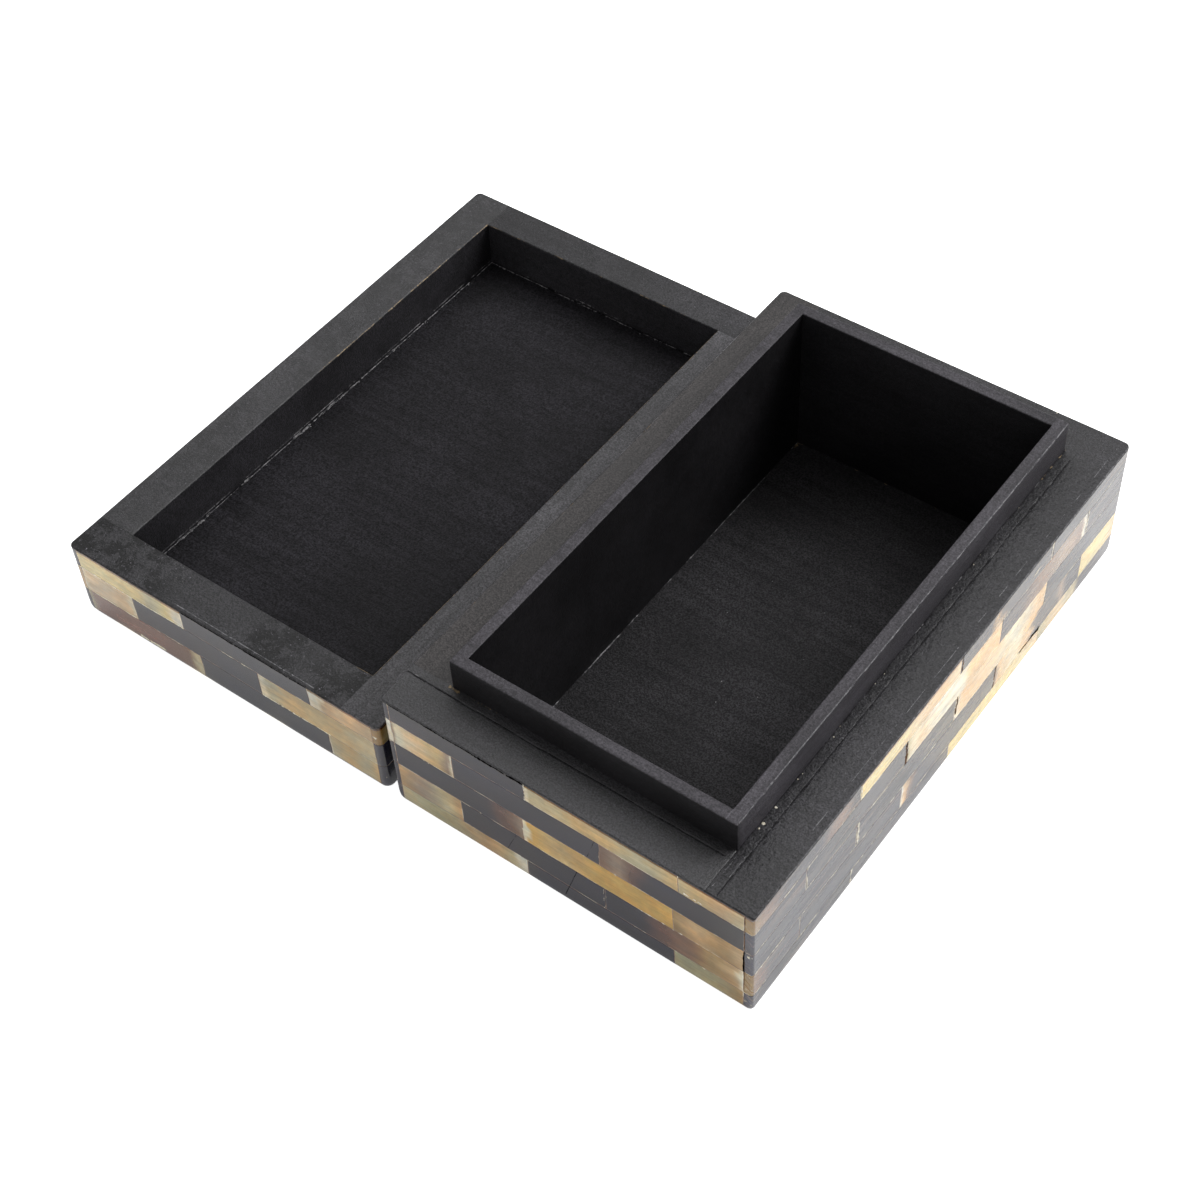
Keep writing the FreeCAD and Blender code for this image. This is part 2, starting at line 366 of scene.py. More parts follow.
@dataclass(frozen=True)
class PaintFinish:
    """Black paint brushed on wood."""

    name: str
    colour: Colour = srgb(38, 37, 40)
    worn: Colour = srgb(120, 106, 88)
    rough: float = 0.5
    gloss: float = 0.5
    brush: float = 0.3
    brush_angle: float = 0.0
    grain: float = 1.8
    grain_dark: float = 0.2
    wrinkle: float = 0.0
    blotch: float = 0.0
    # How much lighter the colour is painted where the top attribute is set: painted light on tops and flanks.
    painted_top_light: float = 0.0
    dust: float = 0.1
    wear: float = 0.3
    relief: float = 0.6

    def build(self, effects: SharedEffects) -> bpy.types.Material:
        """Make the material.

        Args:
            effects: The shared node groups.

        Returns:
            The paint, with brush marks, grain, dust and worn arrises, painted glints in its blots and painted
            light on marked tops.
        """
        material, graph = new_material(self.name, self.colour)
        place = graph.place()
        brush = graph.add("Group", node_tree=effects.brush, Angle=self.brush_angle).outputs[0]
        dust = graph.add("Group", node_tree=effects.dust, Amount=self.dust).outputs[0]
        wear = graph.add("Group", node_tree=effects.wear, Amount=self.wear).outputs[0]
        grain = graph.noise(place, 1800.0, 2.0, 0.75)
        cloud = graph.noise(place, 28.0, 3.0)
        wrinkle = graph.noise(place, 620.0, 2.0, 0.55)
        lift = graph.times(graph.ramp(cloud, 0.3, 0.7, 0.75, 1.3), graph.ramp(brush, 0.35, 0.8, 0.75, 1.3))
        lift = graph.times(lift, graph.ramp(grain, 0.32, 0.7, self.grain_dark, 2.2 - self.grain_dark))
        zone = graph.ramp(graph.noise(place, 22.0, 2.0), 0.32, 0.48)
        blots = graph.noise(place, 125.0, 6.0, 0.74)
        blots = graph.times(graph.ramp(blots, 0.43, 0.53), graph.times(zone, self.blotch))
        # Darker blots of varnish, and within them small bright flecks: the flecks are painted glints, for light
        # caught by the pitted relief.
        painted_glints = graph.ramp(graph.noise(place, 850.0, 3.0, 0.7), 0.6, 0.68, 0.0, 6.0)
        blots_and_glints = graph.scaled(blots, graph.less(painted_glints, 0.84), 1.0)
        lift = graph.times(lift, blots_and_glints)
        # Painted light: the colour is lightened on the tops, and on the lip's outer right flank, as if lit
        # there.
        top = graph.add("Attribute", attribute_name="top").outputs["Fac"]
        lift = graph.times(lift, graph.scaled(top, self.painted_top_light, 1.0))
        colour = graph.mix(1.0, self.colour, graph.grey(lift), "MULTIPLY")
        colour = graph.mix(graph.times(dust, 0.25 + 0.5 * self.dust), colour, srgb(150, 148, 145))
        colour = graph.mix(wear, colour, self.worn)
        height = graph.times(brush, self.brush)
        height = graph.scaled(grain, self.grain, height)
        height = graph.scaled(wrinkle, self.wrinkle, height)
        height = graph.scaled(blots, -0.7, height)
        bump = graph.add("Bump", Strength=self.relief, Distance=0.00025, Height=height).outputs[0]
        rough = graph.scaled(cloud, 0.24, self.rough - 0.12)
        rough = graph.scaled(blots, 0.22, rough)
        shade(graph, Base_Color=colour, Roughness=rough, Normal=bump, Specular_IOR_Level=self.gloss)
        return material


@dataclass(frozen=True)
class HornFinish:
    """Polished horn. Its colour is each tile's own tint, and paint has run over its rim edge."""

    name: str
    rim: float
    rough: float = 0.2
    streaks: float = 0.05
    # How light the horn's colour is made; the higher value on the base's right face is painted light.
    tone: float = 0.92
    polish: float = 1.0
    dull: float = 0.0
    coat_ior: float = 1.5

    def build(self) -> bpy.types.Material:
        """Make the material: fibres, hairs and streaks along each tile, with pale edges and chips."""
        material, graph = new_material(self.name, AMBER)
        place = graph.place()
        lay = graph.add("UVMap", uv_map="lay").outputs[0]
        tint = graph.add("Attribute", attribute_name="tint").outputs["Color"]
        border = graph.add("Attribute", attribute_name="border").outputs["Fac"]
        fibres = graph.noise(graph.stretched(lay, (70.0, 1300.0, 1.0)), 1.0, 4.0, 0.65)
        hairs = graph.noise(graph.stretched(lay, (230.0, 2600.0, 1.0)), 1.0, 3.0, 0.6)
        bands = graph.noise(graph.stretched(lay, (22.0, 300.0, 1.0)), 1.0, 3.0)
        clouds = graph.noise(graph.stretched(lay, (100.0, 150.0, 1.0)), 1.0, 4.0, 0.6)
        lift = graph.times(graph.ramp(fibres, 0.3, 0.7, 0.9, 1.08), graph.ramp(hairs, 0.3, 0.72, 0.9, 1.07))
        lift = graph.times(lift, graph.ramp(bands, 0.3, 0.7, 0.88, 1.1))
        flecks = graph.noise(place, 330.0, 3.0, 0.6)
        lift = graph.times(lift, graph.ramp(flecks, 0.3, 0.7, 0.9 * self.tone, 1.1 * self.tone))
        warmth = graph.mix(graph.ramp(clouds, 0.34, 0.66), (1.08, 0.95, 0.78), (0.95, 0.98, 1.0))
        colour = graph.mix(1.0, graph.mix(1.0, tint, graph.grey(lift), "MULTIPLY"), warmth, "MULTIPLY")
        drawn = graph.noise(graph.stretched(lay, (26.0, 900.0, 1.0)), 1.0, 3.0, 0.6)
        drawn = graph.times(graph.ramp(drawn, 0.52, 0.66), self.streaks)
        colour = graph.mix(drawn, colour, srgb(188, 152, 122))
        ragged = graph.noise(place, 240.0, 3.0)
        chips = graph.noise(place, 420.0, 4.0, 0.7)
        edged = graph.ramp(graph.scaled(ragged, 0.7, border), 0.8, 1.15)
        colour = graph.mix(edged, colour, graph.mix(1.0, colour, (1.14, 1.18, 1.34), "MULTIPLY"))
        chipped = graph.ramp(graph.scaled(border, 0.13, chips), 0.75, 0.8)
        colour = graph.mix(chipped, colour, CREAM)
        level = graph.scaled(ragged, 0.8 * MM, graph.add("SeparateXYZ", place).outputs["Z"])
        stained = graph.ramp(level, self.rim - 0.95 * MM, self.rim - 0.3 * MM)
        painted = graph.ramp(level, self.rim + 0.1 * MM, self.rim + 0.2 * MM)
        stain = graph.mix(1.0, colour, srgb(156, 116, 44), "MULTIPLY")
        colour = graph.mix(stained, colour, stain)
        colour = graph.mix(painted, colour, srgb(32, 32, 34))
        scuffs = graph.noise(graph.stretched(lay, (34.0, 210.0, 1.0)), 1.0, 5.0, 0.7)
        scuffs = graph.times(graph.ramp(scuffs, 0.4, 0.62), self.dull)
        rough = graph.scaled(clouds, 0.1, graph.ramp(painted, 0.0, 1.0, self.rough, 0.5))
        rough = graph.scaled(scuffs, 0.3, rough)
        relief = graph.scaled(fibres, 0.25, graph.noise(place, 90.0))
        bump = graph.add("Bump", Strength=0.3, Distance=0.0002, Height=relief).outputs[0]
        coat = graph.times(graph.less(self.polish, painted), graph.less(1.0, scuffs))
        shade(graph, Base_Color=colour, Roughness=rough, Normal=bump, IOR=1.55, Coat_Weight=coat,
              Coat_Roughness=0.06, Coat_IOR=self.coat_ior)
        return material


@dataclass(frozen=True)
class ResinFinish:
    """Resin in the seams: cream where it is thick, dark where dirt has got in."""

    name: str
    paleness: float = 0.0
    dark: Colour = srgb(84, 72, 66)
    rust: Colour = srgb(158, 124, 98)
    pale: Colour = srgb(232, 220, 190)

    def build(self) -> bpy.types.Material:
        """Make the material, patchy along the seams."""
        material, graph = new_material(self.name, CREAM)
        place = graph.place()
        patches = graph.math("ADD", graph.noise(place, 130.0, 4.0, 0.6), self.paleness)
        colour = graph.mix(graph.ramp(patches, 0.38, 0.5), self.dark, self.rust)
        colour = graph.mix(graph.ramp(patches, 0.53, 0.6), colour, self.pale)
        shade(graph, Base_Color=colour, Roughness=0.3, Coat_Weight=0.6, Coat_Roughness=0.08)
        return material


@dataclass(frozen=True)
class FlakeFinish:
    """What shows where paint has flaked, or where something else lies on it."""

    name: str
    dark: Colour
    pale: Colour
    rough: float = 0.6
    gloss: float = 0.5

    def build(self) -> bpy.types.Material:
        """Make the material, mottled between its two colours."""
        material, graph = new_material(self.name, self.pale)
        place = graph.place()
        mottle = graph.ramp(graph.noise(place, 800.0, 3.0, 0.6), 0.38, 0.62)
        colour = graph.mix(mottle, self.dark, self.pale)
        shade(graph, Base_Color=colour, Roughness=self.rough, Specular_IOR_Level=self.gloss)
        return material


def block(low: Vector, high: Vector) -> Mesh:
    """A plain block between two corners."""
    mesh = bmesh.new()
    place = Matrix.Translation((low + high) / 2) @ Matrix.Diagonal((*(high - low), 1.0))
    bmesh.ops.create_cube(mesh, size=1.0, matrix=place)
    return mesh


def stations(low: float, high: float, step: float, extra: Iterable[float] = ()) -> list[float]:
    """Levels from low to high, about a step apart, with some more where they fall between.

    Args:
        low: The first level.
        high: The last level.
        step: The distance between two levels.
        extra: Levels to add.

    Returns:
        The levels in order, none nearer than two microns to the next.
    """
    count = max(1, round((high - low) / step))
    found = {low + (high - low) * number / count for number in range(1, count)}
    found.update(level for level in extra if low < level < high)
    kept = [low]
    for level in sorted(found):
        if level - kept[-1] > 2e-6 and high - level > 2e-6:
            kept.append(level)
    return [*kept, high]


def lattice(levels: Sequence[Sequence[float]]) -> Mesh:
    """A block whose faces are cut at these levels of X, Y and Z."""
    mesh = bmesh.new()
    ends = [len(row) - 1 for row in levels]
    verts: dict[tuple[int, ...], bmesh.types.BMVert] = {}
    for axis in range(3):
        first, second = (axis + 1) % 3, (axis + 2) % 3
        for end in (0, ends[axis]):
            for u in range(ends[first]):
                for v in range(ends[second]):
                    ring = []
                    for du, dv in ((0, 0), (1, 0), (1, 1), (0, 1)):
                        place = [end, end, end]
                        place[first], place[second] = u + du, v + dv
                        key = tuple(place)
                        if key not in verts:
                            verts[key] = mesh.verts.new([levels[k][key[k]] for k in range(3)])
                        ring.append(verts[key])
                    mesh.faces.new(ring if end else ring[::-1])
    return mesh


def rounded(gap: float, depth: float, radius: float) -> tuple[float, float]:
    """How far a point moves in and down where an arris of this radius is rounded."""
    spoke = Vector((radius - gap, radius - depth))
    if min(spoke) <= 0 or spoke.length <= radius:
        return 0.0, 0.0
    return tuple(spoke - spoke.normalized() * radius)


def bends(radius: float) -> list[float]:
    """Depths beside an arris of this radius at which a face is cut to follow the rounding."""
    return [radius * (1 - math.tan(math.radians(9 * step))) for step in range(5)]


def sharp_edges(mesh: Mesh) -> list[bmesh.types.BMEdge]:
    """Edges whose two faces meet at more than 40 degrees."""
    return [e for e in mesh.edges if e.is_manifold and abs(e.calc_face_angle()) > math.radians(40)]


def round_off(mesh: Mesh, edges: Iterable[bmesh.types.BMEdge], radius: float, segments: int) -> None:
    """Round some edges of a mesh."""
    bmesh.ops.bevel(mesh, geom=list(edges), offset=radius, affect="EDGES", segments=segments,
                    profile=0.5, material=-1, clamp_overlap=True)


def slit(mesh: Mesh, axis: int, level: float) -> None:
    """Cut one loop into a mesh across an axis, without taking anything away."""
    normal = Vector([float(axis == place) for place in range(3)])
    every = [*mesh.verts, *mesh.edges, *mesh.faces]
    bmesh.ops.bisect_plane(mesh, geom=every, dist=1e-7, plane_co=normal * level, plane_no=normal)


def score(mesh: Mesh, axis: int, low: float, high: float, step: float) -> None:
    """Cut loops into a mesh across one axis, about a step apart, for what is moved or tinted later.

    Args:
        mesh: The mesh to cut.
        axis: 0, 1 or 2 for X, Y or Z.
        low: Where the mesh starts along the axis.
        high: Where it ends.
        step: The distance between two loops.
    """
    count = max(1, round((high - low) / step))
    for number in range(1, count):
        slit(mesh, axis, low + (high - low) * number / count)


def add_to(whole: Mesh, mesh: Mesh) -> None:
    """Add one mesh to another, and free it."""
    part = bpy.data.meshes.new("part")
    mesh.to_mesh(part)
    mesh.free()
    whole.from_mesh(part)
    bpy.data.meshes.remove(part)


def placed(name: str, data: bpy.types.ID) -> bpy.types.Object:
    """A new object with this data, in the scene."""
    thing = bpy.data.objects.new(name, data)
    bpy.context.scene.collection.objects.link(thing)
    return thing


def facing(name: str, data: bpy.types.ID, place: Sequence[float], aim: Sequence[float],
           roll: float = 0.0) -> bpy.types.Object:
    """Put a lamp or camera in the scene.

    Args:
        name: Its name.
        data: The lamp or camera.
        place: Where it stands.
        aim: The point that it looks at.
        roll: How far it leans about its line of sight.

    Returns:
        The new object.
    """
    thing = placed(name, data)
    thing.location = place
    thing.rotation_mode = "QUATERNION"
    level = (Vector(place) - Vector(aim)).to_track_quat("Z", "Y")
    thing.rotation_quaternion = level @ Matrix.Rotation(roll, 3, "Z").to_quaternion()
    return thing


def new_piece(name: str, mesh: Mesh, material: bpy.types.Material, body: str) -> bpy.types.Object:
    """Turn a finished shape into a piece.

    Args:
        name: The piece's name.
        mesh: Its shape, which is freed.
        material: Its finish.
        body: The body that it rides on.

    Returns:
        The new object.
    """
    data = bpy.data.meshes.new(name)
    mesh.to_mesh(data)
    mesh.free()
    data.shade_smooth()
    data.set_sharp_from_angle(angle=math.radians(35))
    data.materials.append(material)
    piece = placed(name, data)
    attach(piece, body)
    LOG.info("%s: %d faces, on body %s", name, len(data.polygons), body)
    return piece


def islands(node: str) -> list[Box]:
    """Boxes of the separate solids in a node, in no special order."""
    mesh = bmesh.new()
    mesh.from_mesh(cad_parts[node].data)
    bmesh.ops.remove_doubles(mesh, verts=mesh.verts, dist=1e-6)
    left, boxes = set(mesh.verts), []
    while left:
        queue = [left.pop()]
        island = list(queue)
        while queue:
            for edge in queue.pop().link_edges:
                for vert in edge.verts:
                    if vert in left:
                        left.discard(vert)
                        queue.append(vert)
                        island.append(vert)
        spans = [(min(v.co[k] for v in island), max(v.co[k] for v in island)) for k in range(3)]
        boxes.append((Vector([s[0] for s in spans]), Vector([s[1] for s in spans])))
    mesh.free()
    return boxes


def uneven(point: Vector) -> Vector:
    """How far hand-worked wood strays from true at one point. Pieces that meet there stray together."""
    return noise.noise_vector(point / STRAY_CELL) * STRAY


@dataclass(frozen=True)
class Outline:
    """The outside of one half: a box with rounded upright corners and a rounded closed edge."""

    half: str
    low: Vector
    high: Vector
    closed_round: float = 4.2 * MM
    corner_round: float = 1.9 * MM
    crisp_round: float = 0.8 * MM
    swell: float = 1.4 * MM
    swell_height: float = 6.0 * MM

    @classmethod
    def of(cls, half: str) -> "Outline":
        """The outline that the horn of one half fills, inside its packed box and under the rim's paint."""
        low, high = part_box(half + "_seam_resin")
        inset = Vector((FACE_INSET, FACE_INSET, 0))
        return cls(half, low + inset, high - inset - Vector((0, 0, RIM_PAINT)))

    def front(self, along: float, level: float) -> Vector:
        """A point on the front face, in millimetres from its left edge, and a level in metres."""
        return Vector((self.low.x + along * MM, self.low.y, level))

    def right(self, along: float, level: float) -> Vector:
        """A point on the right face, in millimetres from its near edge, and a level in metres."""
        return Vector((self.high.x, self.low.y + along * MM, level))

    def corner_radius(self, left: bool, front: bool) -> float:
        """Radius of one upright corner: the base's front right one was ground less than the others."""
        return self.crisp_round if self.half == "base" and front and not left else self.corner_round

    def levels(self, axis: int) -> list[float]:
        """Levels across one axis at which a face is cut to follow the rounding."""
        if axis == 2:
            return [self.low.z + depth for depth in bends(self.closed_round)]
        depths = [d for r in (self.closed_round, self.corner_round, self.crisp_round) for d in bends(r)]
        return [self.low[axis] + depth for depth in depths] + [self.high[axis] - depth for depth in depths]

    def gap(self, point: Vector, inset: float = 0.0) -> tuple[float, Vector]:
        """How far inside the upright sides a point lies, and the level direction that leads further in."""
        middle, reach = (self.low + self.high) / 2, (self.high - self.low) / 2
        away = point - middle
        signs = [math.copysign(1.0, away[axis]) for axis in (0, 1)]
        gaps = Vector([reach[axis] - abs(away[axis]) - inset for axis in (0, 1)])
        worn = self.swell * (1 - ease_in(0.0, self.swell_height, point.z - self.low.z))
        radius = self.corner_radius(signs[0] < 0, signs[1] < 0) + worn - inset
        spoke = Vector((radius, radius)) - gaps
        if min(spoke) > 0:
            inward = spoke.normalized()
            return radius - spoke.length, Vector((-signs[0] * inward.x, -signs[1] * inward.y, 0.0))
        axis = 0 if gaps.x <= gaps.y else 1
        return gaps[axis], Vector([-signs[k] if k == axis else 0.0 for k in (0, 1)] + [0.0])

    def press(self, point: Vector, inset: float = 0.0) -> Vector:
        """Bring a point of the plain box in behind the rounding.

        Args:
            point: The point.
            inset: How far behind the outline it is to stay.

        Returns:
            The same point, or the nearest one on the rounding.
        """
        gap, inward = self.gap(point, inset)
        pressed = point + inward * max(-gap, 0.0)
        height = point.z - self.low.z - inset
        across, up = rounded(max(gap, 0.0), height, self.closed_round - inset)
        return pressed + inward * across + Vector((0.0, 0.0, up))


@dataclass
class Tile:
    """One horn tile: where it lies, and what it is cut from."""

    low: Vector
    high: Vector
    side: Side
    tone: Tone
    along: int
    across: int
    horn: Horn = Horn.BLACK
    seed: float = 0.0

    def cloud(self, point: Vector, length: float, width: float, layer: float = 0.0) -> float:
        """Noise in cells of this length and width, in millimetres, that lie along the tile."""
        cell = point[self.along] / (length * MM), point[self.across] / (width * MM), self.seed + layer
        return noise.noise(Vector(cell))

    def tint(self, point: Vector) -> Colour:
        """The horn's colour at one point, clouded, and with its stops drawn out unevenly."""
        length = self.high[self.along] - self.low[self.along]
        share = (point[self.along] - self.low[self.along]) / length
        drift = self.cloud(point, 9, 3.5) * 0.09 * math.sin(math.pi * min(max(share, 0.0), 1.0)) ** 0.5
        share = min(max(share + drift, 0.0), 1.0)
        stops = self.horn.value
        colour = stops[-1][1]
        for (start, first), (end, second) in zip(stops, stops[1:]):
            if share <= end:
                colour = between(first, second, ease_in(start, end, share))
                break
        cloud = self.cloud(point, 14, 5, 7)
        return tuple(channel * (1 + 0.22 * cloud) for channel in colour)


@dataclass
class Mosaic:
    """The horn skin of one half, with the resin in its seams."""

    outline: Outline
    horn: dict[Side, bpy.types.Material]
    resin: dict[Side, bpy.types.Material]
    seam_ease: float = 0.07 * MM
    seam_fill: float = 0.06 * MM
    border: float = 0.7 * MM
    loop: float = 1.7 * MM
    sway: float = 0.9 * MM
    resin_depth: float = 0.05 * MM
    resin_thick: float = 2.2 * MM

    def __post_init__(self) -> None:
        """Find the tiles of each side, and give each its horn."""
        self.half = self.outline.half
        self.chance = random.Random(self.half)
        self.tiles: list[Tile] = []
        for side in Side:
            self.find(side)

    def find(self, side: Side) -> None:
        """Find one side's tiles in their order, the rim's course first."""
        along = 0 if side in (Side.FRONT, Side.BACK) else 1
        across = 0 if side is Side.TOP else 2
        found = []
        for tone in Tone:
            node = f"{self.half}_{side.value}_tiles_{tone.value}"
            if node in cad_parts:
                found += [Tile(*self.filled(island), side, tone, along, across) for island in islands(node)]
        levels = sorted({round(tile.high[across] / (2 * MM)) for tile in found}, reverse=True)
        rows = [[t for t in found if round(t.high[across] / (2 * MM)) == level] for level in levels]
        shown = SHOWN.get((self.half, side), ((),) * len(rows))
        for row, named in zip(rows, shown):
            for place, tile in enumerate(sorted(row, key=lambda t: t.low[along])):
                tile.horn = named[place] if place < len(named) else self.chance.choice(STOCK[tile.tone])
                tile.seed = self.chance.uniform(0, 400)
                self.tiles.append(tile)

    def filled(self, box: Box) -> Box:
        """A tile's box, grown a little into the seams, but kept inside the outline."""
        grown = Vector((self.seam_fill,) * 3)
        low, high = box[0] - grown, box[1] + grown
        for axis in range(3):
            low[axis] = max(low[axis], self.outline.low[axis])
            high[axis] = min(high[axis], self.outline.high[axis])
        return low, high

    def shape(self, tile: Tile) -> Mesh:
        """One tile: a block cut finely at its border and the outline's bends, its seam arrises eased."""
        levels = []
        for axis in range(3):
            low, high = tile.low[axis], tile.high[axis]
            extra = self.outline.levels(axis)
            if axis in (tile.along, tile.across):
                depths = (self.seam_ease, self.border / 2, self.border)
                extra += [low + depth for depth in depths] + [high - depth for depth in depths]
            levels.append(stations(low, high, self.loop, extra))
        mesh = lattice(levels)
        step = self.seam_ease * 0.3
        for vert in mesh.verts:
            ends = [k for k in range(3) if vert.co[k] in (tile.low[k], tile.high[k])]
            inner = [k for k in ends if vert.co[k] not in (self.outline.low[k], self.outline.high[k])]
            if len(ends) > 1 and inner:
                for axis in ends:
                    vert.co[axis] += step if vert.co[axis] == tile.low[axis] else -step
        return mesh

    def window(self, point: Vector) -> float:
        """Zero at the rim and at the closed face, and one midway."""
        share = (point.z - self.outline.low.z) / (self.outline.high.z - self.outline.low.z)
        return math.sin(math.pi * min(max(share, 0.0), 1.0))

    def seams(self) -> list[float]:
        """Levels of the seams between the courses, the one nearest the rim first."""
        lows = {round(tile.low.z, 4) for tile in self.tiles if tile.side is Side.FRONT}
        return sorted(lows, reverse=True)[:-1]

    def wander(self, point: Vector) -> Vector:
        """How far the courses have strayed up or down at one point."""
        stray = noise.noise(Vector((point.x / 0.045, point.y / 0.045, point.z / 0.03)))
        return Vector((0.0, 0.0, self.sway * self.window(point) * stray))

    def follow(self, point: Vector) -> Vector:
        """How far a point of the plain box moves with the face of the tile that it lies on."""
        pressed = self.outline.press(point)
        return pressed + self.wander(pressed) - point

    def move(self, tile: Tile, point: Vector) -> Vector:
        """Where a point of a tile goes as the courses wander a little, but not at the rim or edges."""
        low, high = self.outline.low, self.outline.high
        moved = point.copy()
        if tile.side is Side.TOP:
            return moved
        window = self.window(point)
        moved += self.wander(point)
        room = min(point[tile.along] - low[tile.along], high[tile.along] - point[tile.along])
        lean = noise.noise(Vector((point.x / 0.02, point.y / 0.02, point.z / 0.012)))
        moved[tile.along] += 0.45 * MM * lean * ease_in(3 * MM, 12 * MM, room) * window
        return moved

    def dress(self, mesh: Mesh, tile: Tile) -> None:
        """Give one tile its tint, its nearness to the border and the coordinates that its fibres run along."""
        tint = mesh.verts.layers.float_color.new("tint")
        border = mesh.verts.layers.float.new("border")
        lay = mesh.loops.layers.uv.new("lay")
        ways = tile.along, tile.across
        for vert in mesh.verts:
            vert[tint] = (*tile.tint(vert.co), 1.0)
            room = min(min(vert.co[k] - tile.low[k], tile.high[k] - vert.co[k]) for k in ways)
            vert[border] = max(0.0, 1 - room / self.border)
        depth = 3 - tile.along - tile.across
        for face in mesh.faces:
            for loop in face.loops:
                point = loop.vert.co
                across = point[tile.across] + point[depth] + tile.seed
                loop[lay].uv = (point[tile.along] + tile.seed, across)

    def build(self) -> None:
        """Make one piece for each node of tiles, and the resin under them."""
        for side in Side:
            for tone in Tone:
                tiles = [t for t in self.tiles if t.side is side and t.tone is tone]
                if tiles:
                    self.build_node(f"{self.half}_{side.value}_tiles_{tone.value}", tiles)
        self.build_resin()

    def build_node(self, node: str, tiles: list[Tile]) -> None:
        """Make the tiles of one node as one piece."""
        whole = bmesh.new()
        for tile in tiles:
            mesh = self.shape(tile)
            self.dress(mesh, tile)
            for vert in mesh.verts:
                vert.co = self.move(tile, self.outline.press(vert.co))
            add_to(whole, mesh)
        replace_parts(new_piece(node + "_horn", whole, self.horn[tiles[0].side], self.half), node)

    def build_resin(self) -> None:
        """Make the resin: slabs just under the faces of the tiles, each running past the next."""
        inset = Vector((1.0, 1.0, 1.0)) * self.resin_depth
        low, high, thick = self.outline.low + inset, self.outline.high - inset, self.resin_thick
        slabs = {
            Side.FRONT: (low, Vector((high.x - thick, low.y + thick, high.z))),
            Side.RIGHT: (Vector((high.x - thick, low.y, low.z)), Vector((high.x, high.y - thick, high.z))),
            Side.BACK: (Vector((low.x + thick, high.y - thick, low.z)), high),
            Side.LEFT: (Vector((low.x, low.y + thick, low.z)), Vector((low.x + thick, high.y, high.z))),
        }
        if self.half == "lid":
            edge = Vector((thick, thick, 0))
            slabs[Side.TOP] = (low + edge, Vector((high.x - thick, high.y - thick, low.z + thick)))
        for side, (start, end) in slabs.items():
            mesh = lattice([stations(start[k], end[k], 25 * MM, self.outline.levels(k)) for k in range(3)])
            for vert in mesh.verts:
                vert.co = self.outline.press(vert.co, self.resin_depth)
            name = f"{self.half}_{side.value}_resin"
            slab = new_piece(name, mesh, self.resin[side], self.half)
            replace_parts(slab, self.half + "_seam_resin")


@dataclass
class Board:
    """One painted board, in the place of its node.

    An arris is named by its two faces, so that Z+X- is the top edge on the low X side.
    """

    node: str
    finish: bpy.types.Material
    arrises: tuple[str, ...] = ()
    arris_ease: float = 0.45 * MM
    joint_ease: float = 0.16 * MM
    worn_width: float = 1.2 * MM
    top_cut: float = 0.0

    def level(self, face: str, box: Box) -> tuple[int, float]:
        """Axis and coordinate of a face such as X-."""
        axis = "XYZ".index(face[0])
        return axis, box[1][axis] if face[1] == "+" else box[0][axis]

    def distance(self, point: Vector, arris: str, box: Box) -> float:
        """How far a point is from an arris."""
        gaps = [point[axis] - level for axis, level in (self.level(arris[k:k + 2], box) for k in (0, 2))]
        return math.hypot(*gaps)

    def build(self) -> None:
        """Make the board, its free arrises rounded more than those in the joints.

        One whose top is cut lower, to go under a coat of paint, keeps that edge square.
        """
        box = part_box(self.node)
        mesh = block(box[0], box[1] - Vector((0, 0, self.top_cut)))
        free = [e for e in mesh.edges
                if any(all(self.distance(v.co, a, box) < 1e-6 for v in e.verts) for a in self.arrises)]
        if free:
            round_off(mesh, free, self.arris_ease, 3)
        if self.joint_ease:
            top = box[1].z - self.top_cut - 1e-6 if self.top_cut else math.inf
            joints = [e for e in sharp_edges(mesh) if any(v.co.z < top for v in e.verts)]
            round_off(mesh, joints, self.joint_ease, 2)
        for arris in self.arrises:
            for face in (arris[:2], arris[2:]):
                axis, level = self.level(face, box)
                slit(mesh, axis, level + (self.worn_width if face[1] == "-" else -self.worn_width))
        for axis in range(3):
            score(mesh, axis, box[0][axis], box[1][axis], 6 * MM)
        worn = mesh.verts.layers.float.new("arris")
        for vert in mesh.verts:
            near = min((self.distance(vert.co, a, box) for a in self.arrises), default=1.0)
            vert[worn] = max(0.0, 1 - near / self.worn_width)
            vert.co += uneven(vert.co)
        body = self.node.split("_")[0]
        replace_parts(new_piece(self.node + "_painted", mesh, self.finish, body), self.node)


